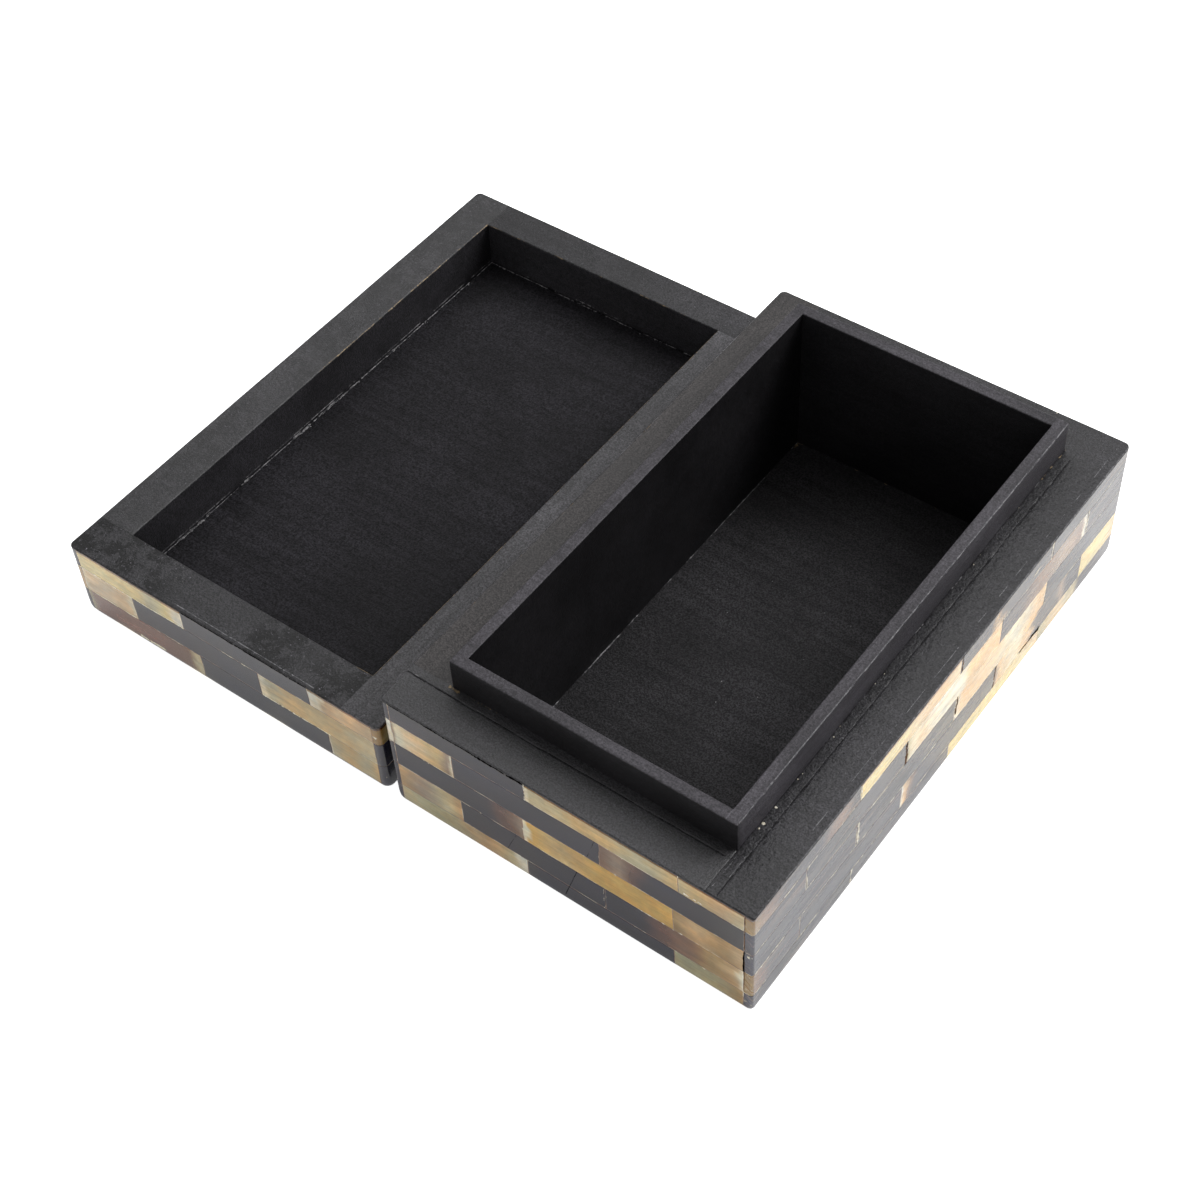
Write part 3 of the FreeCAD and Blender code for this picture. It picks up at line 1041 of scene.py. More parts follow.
@dataclass
class Ring:
    """One side of a painted ring round an opening: a rim's coat of paint, or a board of the lip.

    Its free arrises are rounded as those of the whole ring, so that no joint shows at the corners.
    A crease shows in the coat wherever two boards meet underneath.
    """

    name: str
    outline: Outline
    side: str
    finish: bpy.types.Material
    low: Vector
    high: Vector
    creases: tuple[tuple[int, float, float], ...] = ()
    opening: Box | None = None
    node: str = ""
    crease_half: float = 0.2 * MM
    ease: float = 0.42 * MM
    worn_width: float = 1.2 * MM
    # How far the lip's outer right flank takes the top's painted light.
    painted_flank_light: float = 0.0

    def levels(self, axis: int) -> list[float]:
        """Levels across one axis at which the side is cut."""
        if axis == 2:
            extra = [self.high.z - depth for depth in (*bends(self.ease), self.worn_width)]
            return stations(self.low.z, self.high.z, 4 * MM, extra)
        extra = self.outline.levels(axis)
        for depth in bends(self.ease):
            extra += [self.outline.low[axis] + depth, self.outline.high[axis] - depth]
            if self.opening:
                extra += [self.opening[0][axis] - depth, self.opening[1][axis] + depth]
        if self.opening:
            extra += [self.opening[0][axis], self.opening[1][axis]]
        for across, level, _ in self.creases:
            if across == axis:
                extra += [level + step * self.crease_half for step in range(-3, 4)]
        return stations(self.low[axis], self.high[axis], 2.5 * MM, extra)

    def room(self, point: Vector) -> tuple[float, Vector]:
        """How far a point is from the opening, and the level direction that leads away from it."""
        low, high = self.opening
        nearest = Vector((min(max(point.x, low.x), high.x), min(max(point.y, low.y), high.y), point.z))
        away = point - nearest
        if away.length > 1e-7:
            return away.length, away.normalized()
        outward = {"front": (0, -1, 0), "right": (1, 0, 0), "back": (0, 1, 0), "left": (-1, 0, 0)}
        return 0.0, Vector(outward[self.side])

    def build(self) -> None:
        """Make the side with rounded arrises, creased along its joints."""
        mesh = lattice([self.levels(axis) for axis in range(3)])
        mesh.verts.layers.float.new("arris")
        mesh.verts.layers.float.new("top")
        worn, top = (mesh.verts.layers.float[name] for name in ("arris", "top"))
        for vert in mesh.verts:
            point = self.outline.press(vert.co)
            gap, inward = self.outline.gap(point)
            depth = self.high.z - point.z
            room, away = self.room(point) if self.opening else (math.inf, inward)
            near = math.hypot(min(gap, room) if self.node else room, depth)
            vert[worn] = max(0.0, 1 - near / self.worn_width)
            # Painted light: the lip's outer right flank is marked like a top, so that its paint is lightened as
            # if lit.
            outer_right = gap < 1e-6 and inward.x < -0.9
            flank = self.painted_flank_light * ease_in(0.0, MM, point.y - self.outline.low.y) * outer_right
            vert[top] = max(float(depth < 0.3 * self.ease), flank)
            if room < gap:
                gap, inward = room, away
            across, down = rounded(max(gap, 0.0), depth, self.ease)
            vert.co = point + inward * across - Vector((0.0, 0.0, down)) + uneven(point) + self.crease(point)
        piece = new_piece(self.name, mesh, self.finish, self.outline.half)
        if self.node:
            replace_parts(piece, self.node)

    def crease(self, point: Vector) -> Vector:
        """How far a point of the top sinks and wanders beside the joints."""
        shift = Vector((0.0, 0.0, 0.0))
        if point.z < self.high.z - 0.1 * MM:
            return shift
        for axis, level, depth in self.creases:
            bend = noise.noise(Vector((point[1 - axis] / 0.011, level, 3.0)))
            away = (point[axis] - level) / self.crease_half
            shift.z -= depth * MM * math.exp(-away * away) * (0.8 + 0.7 * bend)
            shift[axis] += 0.35 * MM * bend * math.exp(-away * away / 9)
        return shift


class Mark(Enum):
    """What a small mark is made of: its slot and finish."""

    FLAKED = ("painted_wood", FlakeFinish("flaked_paint", srgb(62, 62, 66), srgb(158, 156, 158)))
    BARE = ("painted_wood", FlakeFinish("bare_wood", srgb(70, 60, 48), srgb(142, 122, 92)))
    # Paler paint on arrises and ridges: partly rubbed paint, partly painted highlights where an arris or ridge
    # would catch the light.
    RUBBED = ("painted_wood", FlakeFinish("rubbed_paint_and_highlight", srgb(66, 66, 70), srgb(112, 111, 114), 0.35))
    # Dark cracks and gaps, and painted shadow: black lines under the front rims where the rim's edge would cast
    # shade.
    GAP = ("painted_wood", FlakeFinish("dark_gap_and_painted_shadow", srgb(5, 5, 6), srgb(14, 13, 14), 0.8, 0.0))
    # Painted shade: dark lines laid along the creases of the rim.
    SHADE = ("painted_wood", FlakeFinish("painted_crease_shade", srgb(20, 19, 21), srgb(40, 39, 42), 0.7, 0.2))
    CRACK = ("seam_resin", FlakeFinish("brown_crack", srgb(40, 28, 20), srgb(112, 80, 50), 0.7, 0.1))
    GLUE = ("seam_resin", FlakeFinish("dried_glue", srgb(186, 176, 154), srgb(238, 232, 216), 0.35))
    RESIN = ("seam_resin", FlakeFinish("pale_resin", srgb(240, 228, 190), srgb(255, 252, 232), 0.3))


@dataclass(frozen=True)
class Streak:
    """A broken, ragged line along an edge: flaked paint, bare wood, glue, a crack, painted shade or a painted
    highlight.
    """

    start: Vector
    end: Vector
    across: Vector
    width: float
    cover: float = 0.6
    patch: float = 7 * MM
    lift: float = 0.03 * MM
    seed: float = 0.0

    def add_to(self, mesh: Mesh, bend: Callable[[Vector], Vector] | None = None) -> None:
        """Add the line to a mesh.

        Args:
            mesh: The mesh.
            bend: How far each point is moved, if the face that it lies on is moved too.
        """
        run = self.end - self.start
        across = self.across.normalized()
        normal = run.cross(across).normalized()
        count = max(2, round(run.length / (0.3 * MM)))
        patch: list[tuple[Vector, ...]] = []
        for number in range(count + 1):
            reach = run.length * number / count
            share = 0.5 + 0.55 * noise.noise(Vector((reach / self.patch, self.seed, 0.3)))
            ragged = noise.noise(Vector((reach / (0.55 * MM), self.seed, 5.3)))
            stray = noise.noise(Vector((reach / (3.1 * MM), self.seed, 9.3)))
            share += 0.22 * noise.noise(Vector((reach / (1.3 * MM), self.seed, 2.3)))
            width = self.width * min(max((share - 1 + self.cover) * 5, 0.0), 1.0) * (0.75 + ragged)
            if width > 0.15 * self.width:
                centre = self.start + run * (number / count) + across * stray * self.width * 0.4
                centre += bend(centre) if bend else Vector((0.0, 0.0, 0.0))
                side, rise = across * (width / 2), normal * self.lift
                left, right = centre - side, centre + side
                patch.append((left - rise, right - rise, right + rise, left + rise))
            else:
                self.close(mesh, patch)
                patch = []
        self.close(mesh, patch)

    def close(self, mesh: Mesh, patch: list[tuple[Vector, ...]]) -> None:
        """Skin one unbroken patch of the line, given the corners of its cross-sections."""
        if len(patch) < 2:
            return
        rings = [[mesh.verts.new(corner) for corner in section] for section in patch]
        for last, ring in zip(rings, rings[1:]):
            for k in range(4):
                mesh.faces.new((last[k], last[k - 3], ring[k - 3], ring[k]))
        mesh.faces.new(rings[0])
        mesh.faces.new(rings[-1])


@dataclass(frozen=True)
class Specks:
    """Small crumbs strewn along a line."""

    start: Vector
    end: Vector
    count: int
    radius: float
    spread: float
    seed: int = 0

    def add_to(self, mesh: Mesh) -> None:
        """Add the crumbs to a mesh."""
        chance = random.Random(self.seed)
        for _ in range(self.count):
            centre = self.start.lerp(self.end, chance.random())
            centre += Vector((chance.uniform(-1, 1), chance.uniform(-1, 1), 0.0)) * self.spread
            size = Matrix.Diagonal((chance.uniform(0.7, 1.3), chance.uniform(0.7, 1.3), 0.5, 1.0))
            radius = self.radius * chance.uniform(0.4, 1.0)
            place = Matrix.Translation(centre) @ size
            bmesh.ops.create_icosphere(mesh, subdivisions=1, radius=radius, matrix=place)


class Marks:
    """The small marks on one half, gathered into one piece for each kind."""

    def __init__(self, half: str) -> None:
        """Start with no marks."""
        self.half = half
        self.meshes = {mark: bmesh.new() for mark in Mark}

    def streak(self, mark: Mark, start: Sequence[float], end: Sequence[float], across: Sequence[float],
               width: float, cover: float = 0.6, bend: Callable[[Vector], Vector] | None = None,
               patch: float = 7.0) -> None:
        """Add one broken line.

        Args:
            mark: What it is made of.
            start: Where it starts, in metres.
            end: Where it ends.
            across: The direction of its width.
            width: Its usual width, in millimetres.
            cover: The share of its length that shows.
            bend: How far the face under it is moved.
            patch: The length of one patch, in millimetres.
        """
        seed = 1.7 + 3.1 * len(self.meshes[mark].verts) % 97
        line = Streak(Vector(start), Vector(end), Vector(across), width * MM, cover, patch * MM, seed=seed)
        line.add_to(self.meshes[mark], bend)

    def specks(self, mark: Mark, start: Sequence[float], end: Sequence[float], count: int, radius: float,
               spread: float = 0.2) -> None:
        """Add some crumbs along a line, with their radius and spread in millimetres."""
        mesh = self.meshes[mark]
        Specks(Vector(start), Vector(end), count, radius * MM, spread * MM, len(mesh.verts)).add_to(mesh)

    def build(self) -> None:
        """Make the pieces."""
        for mark, mesh in self.meshes.items():
            slot, finish = mark.value
            if mesh.faces:
                bmesh.ops.recalc_face_normals(mesh, faces=mesh.faces)
                new_piece(f"{self.half}_{finish.name}", mesh, finish.build(), self.half)


def opening_of(boards: dict[str, Box]) -> Box:
    """The opening that four boards enclose, as two corners on the ground."""
    return (Vector((boards["left"][1].x, boards["front"][1].y, 0)),
            Vector((boards["right"][0].x, boards["back"][0].y, 0)))


def rim_coats(outline: Outline, inner: dict[str, Box], top: float) -> dict[str, Box]:
    """Find where the paint lies on the rim of one half, each side running past the next.

    Args:
        outline: The outline of the half.
        inner: The innermost board under each side's coat.
        top: The level of the rim.

    Returns:
        The two corners of each side's coat.
    """
    low, high = outline.low, outline.high
    front, right, back, left = (inner[side] for side in SIDES)
    spans = (
        (low.x, front[1].x, low.y, front[1].y),
        (right[0].x, high.x, low.y, right[1].y),
        (back[0].x, high.x, back[0].y, high.y),
        (low.x, left[1].x, left[0].y, high.y),
    )
    return {side: (Vector((x0, y0, top - RIM_PAINT)), Vector((x1, y1, top)))
            for side, (x0, x1, y0, y1) in zip(SIDES, spans)}


class Base:
    """The lower half: rim boards, ledges, liner with its lip, floor and mosaic."""

    def __init__(self, effects: SharedEffects) -> None:
        """Make the finishes."""
        rim = {
            "front": PaintFinish("rim_front_paint", gloss=0.72, grain=1.6, wrinkle=0.5, brush=0.15),
            "right": PaintFinish("rim_right_paint", rough=0.42, gloss=0.4, grain=0.8, wrinkle=2.2, brush=0.1),
            "back": PaintFinish("rim_back_paint", dust=0.3),
            "left": PaintFinish("rim_left_paint", colour=srgb(44, 41, 41), rough=0.46, gloss=0.42, grain=0.8,
                                brush=1.2, brush_angle=ALONG_Y),
        }
        self.rim = {side: finish.build(effects) for side, finish in rim.items()}
        # Painted light: the lip's top is painted lighter, and the right lip's top and outer flank more so.
        lip = PaintFinish("lip_paint", colour=srgb(20, 19, 21), gloss=0.28, painted_top_light=5.0, grain=1.4,
                          grain_dark=0.6)
        self.lip = dict.fromkeys(SIDES, lip.build(effects))
        self.lip["right"] = replace(lip, name="lip_right_paint", painted_top_light=6.2, brush=1.0,
                                    brush_angle=ALONG_Y).build(effects)
        self.floor = PaintFinish("cavity_paint", colour=srgb(40, 39, 41), rough=0.66, gloss=0.22, dust=0.15,
                                 grain=2.6, grain_dark=0.3, wrinkle=0.8).build(effects)
        self.outline = Outline.of("base")
        liner = {side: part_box(f"base_{side}_liner") for side in SIDES}
        self.foot = Outline("base", liner["left"][0], liner["right"][1], 0.1 * MM, 0.4 * MM, 0.4 * MM)
        self.cavity = opening_of(liner)
        top = self.outline.high.z
        horn = dict.fromkeys(Side, HornFinish("base_horn", top, polish=0.6).build())
        # Painted light: the right face's horn is a lighter copy, tone 1.08 against 0.92, for the strong light on
        # that side.
        horn[Side.RIGHT] = HornFinish("base_right_horn", top, streaks=0.3, tone=1.08, polish=0.85,
                                      dull=0.15).build()
        resin = dict.fromkeys(Side, ResinFinish("base_resin").build())
        resin[Side.RIGHT] = ResinFinish("base_right_resin", paleness=0.09).build()
        self.mosaic = Mosaic(self.outline, horn, resin)

    def build(self) -> None:
        """Make every piece of the base."""
        for side in SIDES:
            Board(f"base_{side}_wall", self.rim[side], top_cut=RIM_PAINT).build()
            Board(f"base_{side}_ledge", self.rim[side], top_cut=RIM_PAINT).build()
            node = f"base_{side}_liner"
            Ring(f"{node}_painted", self.foot, side, self.lip[side], *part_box(node), opening=self.cavity,
                 node=node, painted_flank_light=0.86).build()
        self.paint_rim()
        Board("base_floor", self.floor).build()
        self.mosaic.build()
        self.mark()

    def mark(self) -> None:
        """Add the base's flaked paint, rubbed arrises, cracks and glue, with painted shade in creases and
        painted highlights.
        """
        marks = Marks("base")
        streak, specks = marks.streak, marks.specks
        top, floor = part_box("base_front_wall")[1].z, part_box("base_floor")[1].z
        near, far = (corner.y for corner in self.cavity)
        foot = self.foot.low.x, self.foot.high.x, self.foot.low.y, self.foot.high.y
        low, high = self.outline.low, self.outline.high
        lip = self.foot.high.z

        def at(x: float, y: float, z: float, right: float = 0.0, back: float = 0.0, up: float = 0.0) -> Vector:
            """A point, moved by some millimetres."""
            return Vector((x + right * MM, y + back * MM, z + up * MM))

        edge = self.cavity[0].x
        streak(Mark.FLAKED, at(edge, near, floor, 0.2, 1), at(edge, 0, floor, 0.2), X_WAY, 0.42, 0.6)
        streak(Mark.FLAKED, at(edge, 0, floor, 0.15), at(edge, far, floor, 0.15), X_WAY, 0.3, 0.45)
        streak(Mark.BARE, at(edge, far, floor, 0.7, -3), at(edge, far, floor, 0.7, -0.4), X_WAY, 1.0, 1.0)
        streak(Mark.BARE, at(edge, far, floor, 1, -0.3), at(0, far, floor, 10, -0.3), Y_WAY, 0.3, 0.45)
        specks(Mark.FLAKED, at(0, near, floor, 0, 5), at(0, far, floor, 0, -60), 26, 0.2, 38)
        left = at(low.x, low.y, top, 0.3, 5, -0.06), at(low.x, high.y, top, 0.3, -3, -0.06)
        streak(Mark.RUBBED, *left, (1, 0, 0.6), 0.4, 0.75)
        streak(Mark.BARE, *left, (1, 0, 0.6), 0.4, 0.38, patch=3)
        # Painted highlights: pale lines on the right rim's outer arris and on the lip's top right arris.
        right = at(high.x, low.y, top, -0.13, 3, -0.13), at(high.x, high.y, top, -0.13, -2, -0.13)
        streak(Mark.RUBBED, *right, (1, 0, -1), 0.35, 0.8)
        arris = at(foot[1], foot[2], lip, -0.13, 1, -0.13), at(foot[1], foot[3], lip, -0.13, -1, -0.13)
        streak(Mark.RUBBED, *arris, (1, 0, -1), 0.35, 0.95)
        arris = at(foot[1], foot[3], top, -0.13, -0.13, 1), at(foot[1], foot[3], lip, -0.13, -0.13, -1)
        streak(Mark.BARE, *arris, (1, -1, 0), 0.4, 0.6, patch=3)
        arris = at(foot[0], foot[2], top, 0.13, 0.13, 1), at(foot[0], foot[2], lip, 0.13, 0.13, -1)
        streak(Mark.BARE, *arris, (1, -1, 0), 0.3, 0.42, patch=2)
        for back, radius in ((9.0, 0.4), (11.0, 0.6), (17.0, 0.55)):
            place = at(foot[1], foot[2], top, 0.9, back)
            specks(Mark.GLUE, place, place, 2, radius, 0.1)
        specks(Mark.GLUE, at(foot[1], foot[2], top, 0.6, 20), at(foot[1], foot[3], top, 0.6, -20), 9, 0.25, 0.3)
        bare = at(foot[1], foot[3], top, 0.3, -16), at(foot[1], foot[3], top, 0.3)
        streak(Mark.BARE, *bare, X_WAY, 0.55, 0.62, patch=3)
        streak(Mark.FLAKED, at(foot[1], 0, top, 0.2), at(foot[1], foot[3], top, 0.2, -16), X_WAY, 0.3, 0.4)
        blob = at(foot[0], foot[2], top, -0.8, -0.45), at(foot[0], foot[2], top, 3.2, -0.55)
        streak(Mark.BARE, *blob, Y_WAY, 1.0, 1.0, patch=2)
        specks(Mark.BARE, at(foot[0], foot[2], top, 3, -0.4), at(foot[0], foot[2], top, 18, -0.4), 8, 0.22, 0.15)
        ledge_y, ledge_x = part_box("base_front_ledge")[0].y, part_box("base_right_ledge")[1].x
        # Painted shade: dark lines along the creases where ledge and wall meet and in front of the lip's foot.
        shaded = at(low.x, ledge_y, top, 3, -0.1), at(foot[1], ledge_y, top, -2, -0.1)
        streak(Mark.SHADE, *shaded, Y_WAY, 0.3, 0.72)
        streak(Mark.SHADE, at(0, foot[2], top, -25, -1.5), at(foot[1], foot[2], top, -2, -1.5), Y_WAY, 0.2, 0.45)
        # Pale lines beside the creases, here and below: painted highlights on the ridges of paint, partly rubbed
        # paint.
        streak(Mark.RUBBED, at(low.x, ledge_y, top, 3, 0.4), at(0, ledge_y, top, -20, 0.4), Y_WAY, 0.25, 0.6)
        streak(Mark.SHADE, at(ledge_x, low.y, top, 0, 1), at(ledge_x, high.y, top, 0, -16), X_WAY, 0.45, 0.9)
        streak(Mark.RUBBED, at(ledge_x, low.y, top, -0.5, 1), at(ledge_x, foot[2], top, -0.5), X_WAY, 0.3, 0.7)
        rubbed = at(foot[1], low.y, top, 0.9, 2.5), at(foot[1], foot[2], top, 0.9, -1)
        streak(Mark.RUBBED, *rubbed, X_WAY, 0.3, 0.6)
        wall_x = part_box("base_right_wall")[1].x
        streak(Mark.RUBBED, at(wall_x, 0, top, 0, -70), at(wall_x, high.y, top, 0, -4), X_WAY, 0.22, 0.6)
        specks(Mark.GLUE, at(-0.04, high.y, top, 0, -0.4), at(high.x, high.y, top, -3, -0.4), 7, 0.25, 0.2)
        self.mark_faces(marks)
        marks.build()

    def mark_faces(self, marks: Marks) -> None:
        """Add the chips, cracks and dark lines on the horn of the front and right faces; the line under the
        front rim is painted shadow.
        """
        streak, bend = marks.streak, self.mosaic.follow
        front, right = self.outline.front, self.outline.right
        foot, rim, rows = self.outline.low.z, self.outline.high.z, self.mosaic.seams()
        # Painted shadow: a black line under the front rim, over the black tiles, where the rim's edge would cast
        # shade.
        for start, end, width in ((3, 16, 0.35), (16, 33, 0.6), (33, 50.6, 0.85)):
            level = rim - width * 0.5 * MM + 0.15 * MM
            streak(Mark.GAP, front(start, level), front(end, level), Z_WAY, width, 1.0)
        for mark, start, end, way, width, cover, patch in (
                (Mark.GAP, front(67, rows[2]), front(62, foot + 4.5 * MM), X_WAY, 0.2, 0.75, 7),
                (Mark.GAP, front(74, rows[0]), front(71, rows[1]), X_WAY, 0.12, 0.6, 7),
                (Mark.GAP, front(46, rows[2]), front(42, rows[3]), X_WAY, 0.14, 0.6, 7),
                (Mark.GAP, front(122, rows[1]), front(122, rows[2]), X_WAY, 0.55, 0.9, 3),
                (Mark.CRACK, front(122.2, rim), front(122.2, rows[3]), X_WAY, 0.25, 0.8, 7),
                (Mark.GLUE, front(103, rows[0] + MM), front(109, rows[0] + 0.6 * MM), Z_WAY, 0.7, 0.75, 2),
                (Mark.GLUE, front(88, rows[2]), front(106, rows[2]), Z_WAY, 0.4, 0.6, 2),
                (Mark.GLUE, front(76, rows[2]), front(76, rows[3]), X_WAY, 0.28, 0.55, 2),
                (Mark.GLUE, front(50.6, rim), front(50.6, rows[0]), X_WAY, 0.5, 0.8, 4),
                *((Mark.GLUE, right(1, level), right(200, level), Z_WAY, 0.5, 0.46 + 0.03 * number, 5)
                  for number, level in enumerate(rows)),
                (Mark.GAP, right(149, rows[3]), right(155, rows[3]), Z_WAY, 1.3, 1.0, 7),
                (Mark.CRACK, right(143, rows[3]), right(156, rows[3]), Z_WAY, 0.9, 0.9, 7),
                (Mark.GLUE, right(143, rim - 5 * MM), right(149, rim - 4 * MM), Z_WAY, 0.8, 0.8, 3)):
            streak(mark, start, end, way, width, cover, bend, patch)
        levels = (rim, *rows, foot + 4 * MM)
        for mark, along, row, width in (
                (Mark.CRACK, 104.5, 0, 0.6), (Mark.CRACK, 75.5, 1, 1.0), (Mark.CRACK, 103.8, 2, 1.1),
                (Mark.CRACK, 127.5, 3, 0.6), (Mark.GLUE, 51.4, 2, 1.3), (Mark.GLUE, 105.2, 2, 0.9),
                (Mark.GLUE, 25.5, 1, 0.4), (Mark.GLUE, 49.2, 4, 1.1), (Mark.GLUE, 179, 1, 0.8),
                (Mark.GLUE, 51.6, 0, 0.7), (Mark.GLUE, 155.5, 0, 0.6)):
            start, end = right(along, levels[row]), right(along, levels[row + 1])
            streak(mark, start, end, Y_WAY, width, 0.8, bend, 4)

    def paint_rim(self) -> None:
        """Paint the rim, one coat for each wall and the ledge beside it."""
        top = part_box("base_front_wall")[1].z
        ledge = {side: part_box(f"base_{side}_ledge") for side in SIDES}
        creases = {
            "front": ((1, ledge["front"][0].y, 0.26), (0, ledge["right"][0].x, 0.16)),
            "right": ((0, ledge["right"][1].x, 0.12), (0, ledge["right"][0].x, 0.12)),
        }
        for side, corners in rim_coats(self.outline, ledge, top).items():
            name = f"base_{side}_rim_paint"
            Ring(name, self.outline, side, self.rim[side], *corners, creases.get(side, ())).build()


class Lid:
    """The upper half, upside down: rim boards, top board, inner panel and mosaic."""

    RECESS = {"front": ("Z+Y+",), "right": ("Z+X-",), "back": ("Z+Y-",), "left": ("Z+X+",)}

    def __init__(self, effects: SharedEffects) -> None:
        """Make the finishes."""
        rim = {
            "front": PaintFinish("lid_front_paint", rough=0.52, gloss=0.55, grain=1.6, brush=0.15, blotch=0.95,
                                 dust=0.45),
            "right": PaintFinish("lid_right_paint", colour=srgb(62, 61, 64), gloss=0.48, grain_dark=0.4,
                                 brush=0.6, brush_angle=ALONG_Y, blotch=0.1),
            "back": PaintFinish("lid_back_paint", blotch=0.3),
            "left": PaintFinish("lid_left_paint", rough=0.48, gloss=0.68, grain=1.4, brush=0.6,
                                brush_angle=ALONG_Y, blotch=0.4, dust=0.35, wear=0.5),
        }
        self.rim = {side: finish.build(effects) for side, finish in rim.items()}
        self.recess = PaintFinish("recess_paint", colour=srgb(34, 33, 36), gloss=0.45).build(effects)
        self.panel = PaintFinish("panel_paint", colour=srgb(28, 27, 30), rough=0.64, gloss=0.16, grain=2.4,
                                 brush=2.2).build(effects)
        self.outline = Outline.of("lid")
        horn = dict.fromkeys(Side, HornFinish("lid_horn", self.outline.high.z, coat_ior=1.7).build())
        self.mosaic = Mosaic(self.outline, horn, dict.fromkeys(Side, ResinFinish("lid_resin").build()))

    def build(self) -> None:
        """Make every piece of the lid."""
        wall = {side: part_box(f"lid_{side}_wall") for side in SIDES}
        top, opening = wall["front"][1].z, opening_of(wall)
        coats = rim_coats(self.outline, wall, top)
        for side, arrises in self.RECESS.items():
            Board(f"lid_{side}_wall", self.recess, arrises, top_cut=RIM_PAINT).build()
            name = f"lid_{side}_rim_paint"
            Ring(name, self.outline, side, self.rim[side], *coats[side], opening=opening).build()
        Board("lid_top_board", self.panel).build()
        Board("lid_inner_panel", self.panel, ("Z+X-", "Z+X+", "Z+Y-", "Z+Y+"), arris_ease=0.3 * MM).build()
        self.mosaic.build()
        self.mark(*opening, top)

    def mark(self, start: Vector, end: Vector, top: float) -> None:
        """Add the flaked edges of the panel, the worn arrises and the chips that show on the lid, and a painted
        shadow line under its front rim.

        Args:
            start: The near left corner of the recess.
            end: Its far right corner.
            top: The level of the rim.
        """
        marks = Marks("lid")
        streak, specks, front = marks.streak, marks.specks, self.outline.front
        panel_low, panel_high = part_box("lid_inner_panel")
        low, high, bend = self.outline.low, self.outline.high, self.mosaic.follow
        level, inset = panel_high.z, 0.4 * MM
        left, back, above = panel_low.x + inset, panel_high.y - inset, level + 0.5 * MM
        edge = (left, panel_low.y, level), (left, panel_high.y, level)
        streak(Mark.FLAKED, *edge, X_WAY, 0.34, 0.85, patch=14)
        streak(Mark.FLAKED, *edge, X_WAY, 1.0, 0.5, patch=9)
        streak(Mark.FLAKED, (start.x, start.y, above), (start.x, end.y, above), Z_WAY, 0.26, 0.7)
        specks(Mark.FLAKED, *edge, 22, 0.3, 0.9)
        edge = (panel_low.x, back, level), (panel_high.x, back, level)
        streak(Mark.FLAKED, *edge, Y_WAY, 0.36, 0.7)
        streak(Mark.FLAKED, (start.x, end.y, above), (end.x, end.y, above), Z_WAY, 0.3, 0.42)
        specks(Mark.FLAKED, *edge, 10, 0.25, 0.7)
        step = 0.13 * MM
        worn, near, far = top - step, start.y - step, end.y + step
        streak(Mark.BARE, (end.x + step, start.y, worn), (end.x + step, end.y, worn), (1, 0, 1), 0.3, 0.82)
        streak(Mark.BARE, (end.x - 6 * MM, near, worn), (end.x, near, worn), (0, -1, 1), 0.3, 0.95)
        streak(Mark.BARE, (start.x - step, 0, worn), (start.x - step, end.y, worn), (-1, 0, 1), 0.35, 0.7)
        streak(Mark.BARE, (start.x, far, worn), (end.x, far, worn), (0, 1, 1), 0.25, 0.5)
        rim_y = high.y - inset
        specks(Mark.GLUE, (low.x + 20 * MM, rim_y, top), (high.x - 10 * MM, rim_y, top), 6, 0.25)
        face = high.z - 0.1 * MM
        # Painted shadow: a black line under the lid's front rim, over its black tile.
        streak(Mark.GAP, front(47, face), front(98, face), Z_WAY, 0.55, 1.0)
        first, second = self.mosaic.seams()[:2]
        for near_x, far_x, seam, width, cover, patch in (
                (63, 76, first, 0.45, 0.5, 2.0), (1, 47, first, 0.45, 0.85, 7.0),
                (1, 25, second, 0.4, 0.7, 7.0), (77, 104, second, 0.5, 0.75, 5.0)):
            streak(Mark.RESIN, front(near_x, seam), front(far_x, seam), Z_WAY, width, cover, bend, patch)
        rubbed = (low.x + 44 * MM, low.y + 1.4 * MM, top), (low.x + 100 * MM, low.y + 1.1 * MM, top)
        streak(Mark.RUBBED, *rubbed, Y_WAY, 0.3, 0.85, patch=12)
        under = low.z + 4.3 * MM
        streak(Mark.RESIN, front(23.5, under), front(34.5, under), Z_WAY, 1.2, 0.85, bend, 2)
        marks.build()


@dataclass(frozen=True)
class Table:
    """The white table. It shines a little, so that it reads as pure white, and less so in reflections."""

    size: float = 12.0
    colour: Colour = (0.86, 0.86, 0.86)
    glow: float = 0.92
    mirror_glow: float = 0.12

    def build(self) -> None:
        """Make the table top under the box."""
        mesh = bmesh.new()
        bmesh.ops.create_grid(mesh, x_segments=1, y_segments=1, size=self.size / 2)
        data = bpy.data.meshes.new("table")
        mesh.to_mesh(data)
        mesh.free()
        material, graph = new_material("table_white", self.colour)
        rays = graph.add("LightPath").outputs
        mirrored = graph.times(rays["Is Glossy Ray"], self.mirror_glow)
        glow = graph.scaled(rays["Is Camera Ray"], self.glow, mirrored)
        shade(graph, Base_Color=self.colour, Roughness=0.9, Emission_Color=WHITE, Emission_Strength=glow)
        data.materials.append(material)
        table = placed("table", data)
        table.location.z = -0.05 * MM
        LOG.info("table: %.1f m square", self.size)


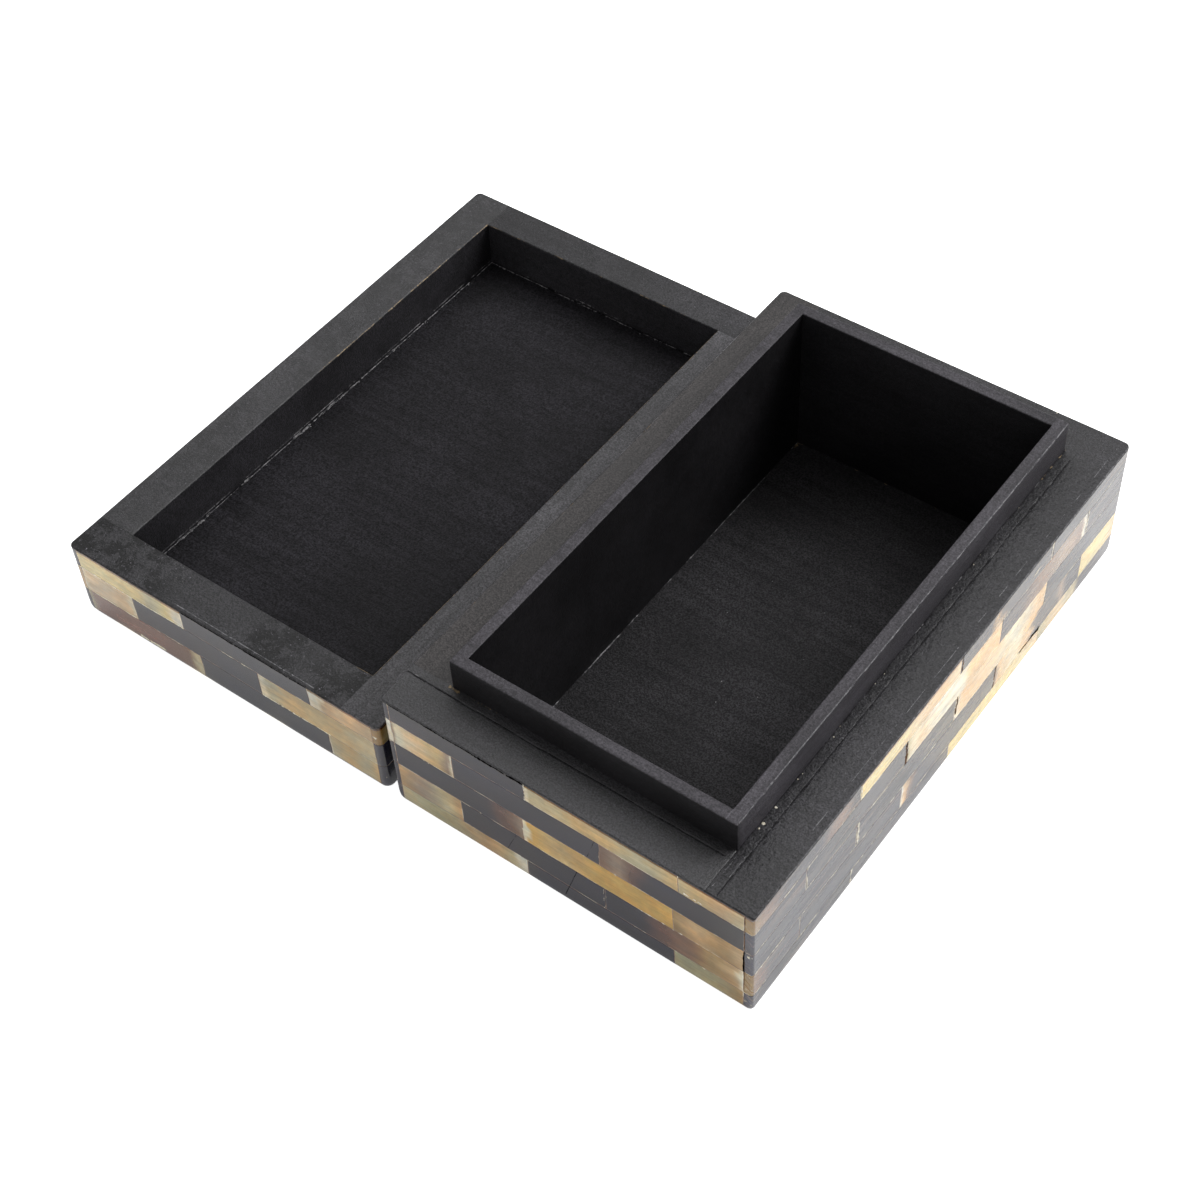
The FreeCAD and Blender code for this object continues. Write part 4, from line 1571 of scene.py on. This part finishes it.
@dataclass(frozen=True)
class Softbox:
    """A square or oblong lamp that shines evenly, aimed at the box."""

    name: str
    place: tuple[float, float, float]
    width: float
    height: float
    radiance: float
    aim: tuple[float, float, float] = (-0.05, 0.0, 0.03)

    def build(self) -> None:
        """Make the lamp, with the power that gives its face this radiance."""
        data = bpy.data.lights.new(self.name, "AREA")
        data.shape = "RECTANGLE"
        data.size, data.size_y = self.width, self.height
        data.energy = self.radiance * math.pi * self.width * self.height
        facing(self.name, data, self.place, self.aim)
        LOG.info("lamp %s: radiance %.2f", self.name, self.radiance)


@dataclass(frozen=True)
class Surroundings:
    """The room: white where the camera looks, and dim for the light that falls on the box."""

    ambient: float = 0.22

    def build(self) -> None:
        """Make the world."""
        world = bpy.data.worlds.new("room")
        world.use_nodes = True
        graph = Graph(world.node_tree)
        seen = graph.add("LightPath").outputs["Is Camera Ray"]
        colour = graph.mix(seen, (self.ambient,) * 3, WHITE)
        graph.add("OutputWorld", graph.add("Background", colour, 1.0).outputs[0])
        bpy.context.scene.world = world


@dataclass(frozen=True)
class Camera:
    """The camera: where it is, what it looks at, how far it leans and its lens."""

    place: tuple[float, float, float] = (0.219807, -0.346069, 0.517961)
    target: tuple[float, float, float] = (-0.059359, -0.005911, 0.0)
    roll: float = math.radians(-3.775)
    lens: float = 64.55

    def build(self) -> None:
        """Make the camera and set the scene's view."""
        data = bpy.data.cameras.new("camera")
        data.lens = self.lens
        data.sensor_width = 36.0
        data.clip_start, data.clip_end = 0.01, 50.0
        scene = bpy.context.scene
        scene.camera = facing("camera", data, self.place, self.target, self.roll)
        scene.view_settings.view_transform = "Standard"


def main() -> None:
    """Build the box, the table, the lamps and the camera, and report each piece."""
    logging.basicConfig(level=logging.INFO, format="%(message)s")
    noise.seed_set(STRAY_SEED)
    effects = SharedEffects()
    Base(effects).build()
    Lid(effects).build()
    Table().build()
    Surroundings().build()
    Softbox("key", (1.0, 1.2, 1.3), 1.2, 1.2, 8.2).build()
    Softbox("overhead", (-0.6, 0.9, 1.7), 1.8, 1.8, 1.9).build()
    Softbox("front_fill", (0.2, -1.9, 0.45), 1.6, 0.7, 2.7).build()
    Camera().build()


if __name__ == "__main__":
    main()
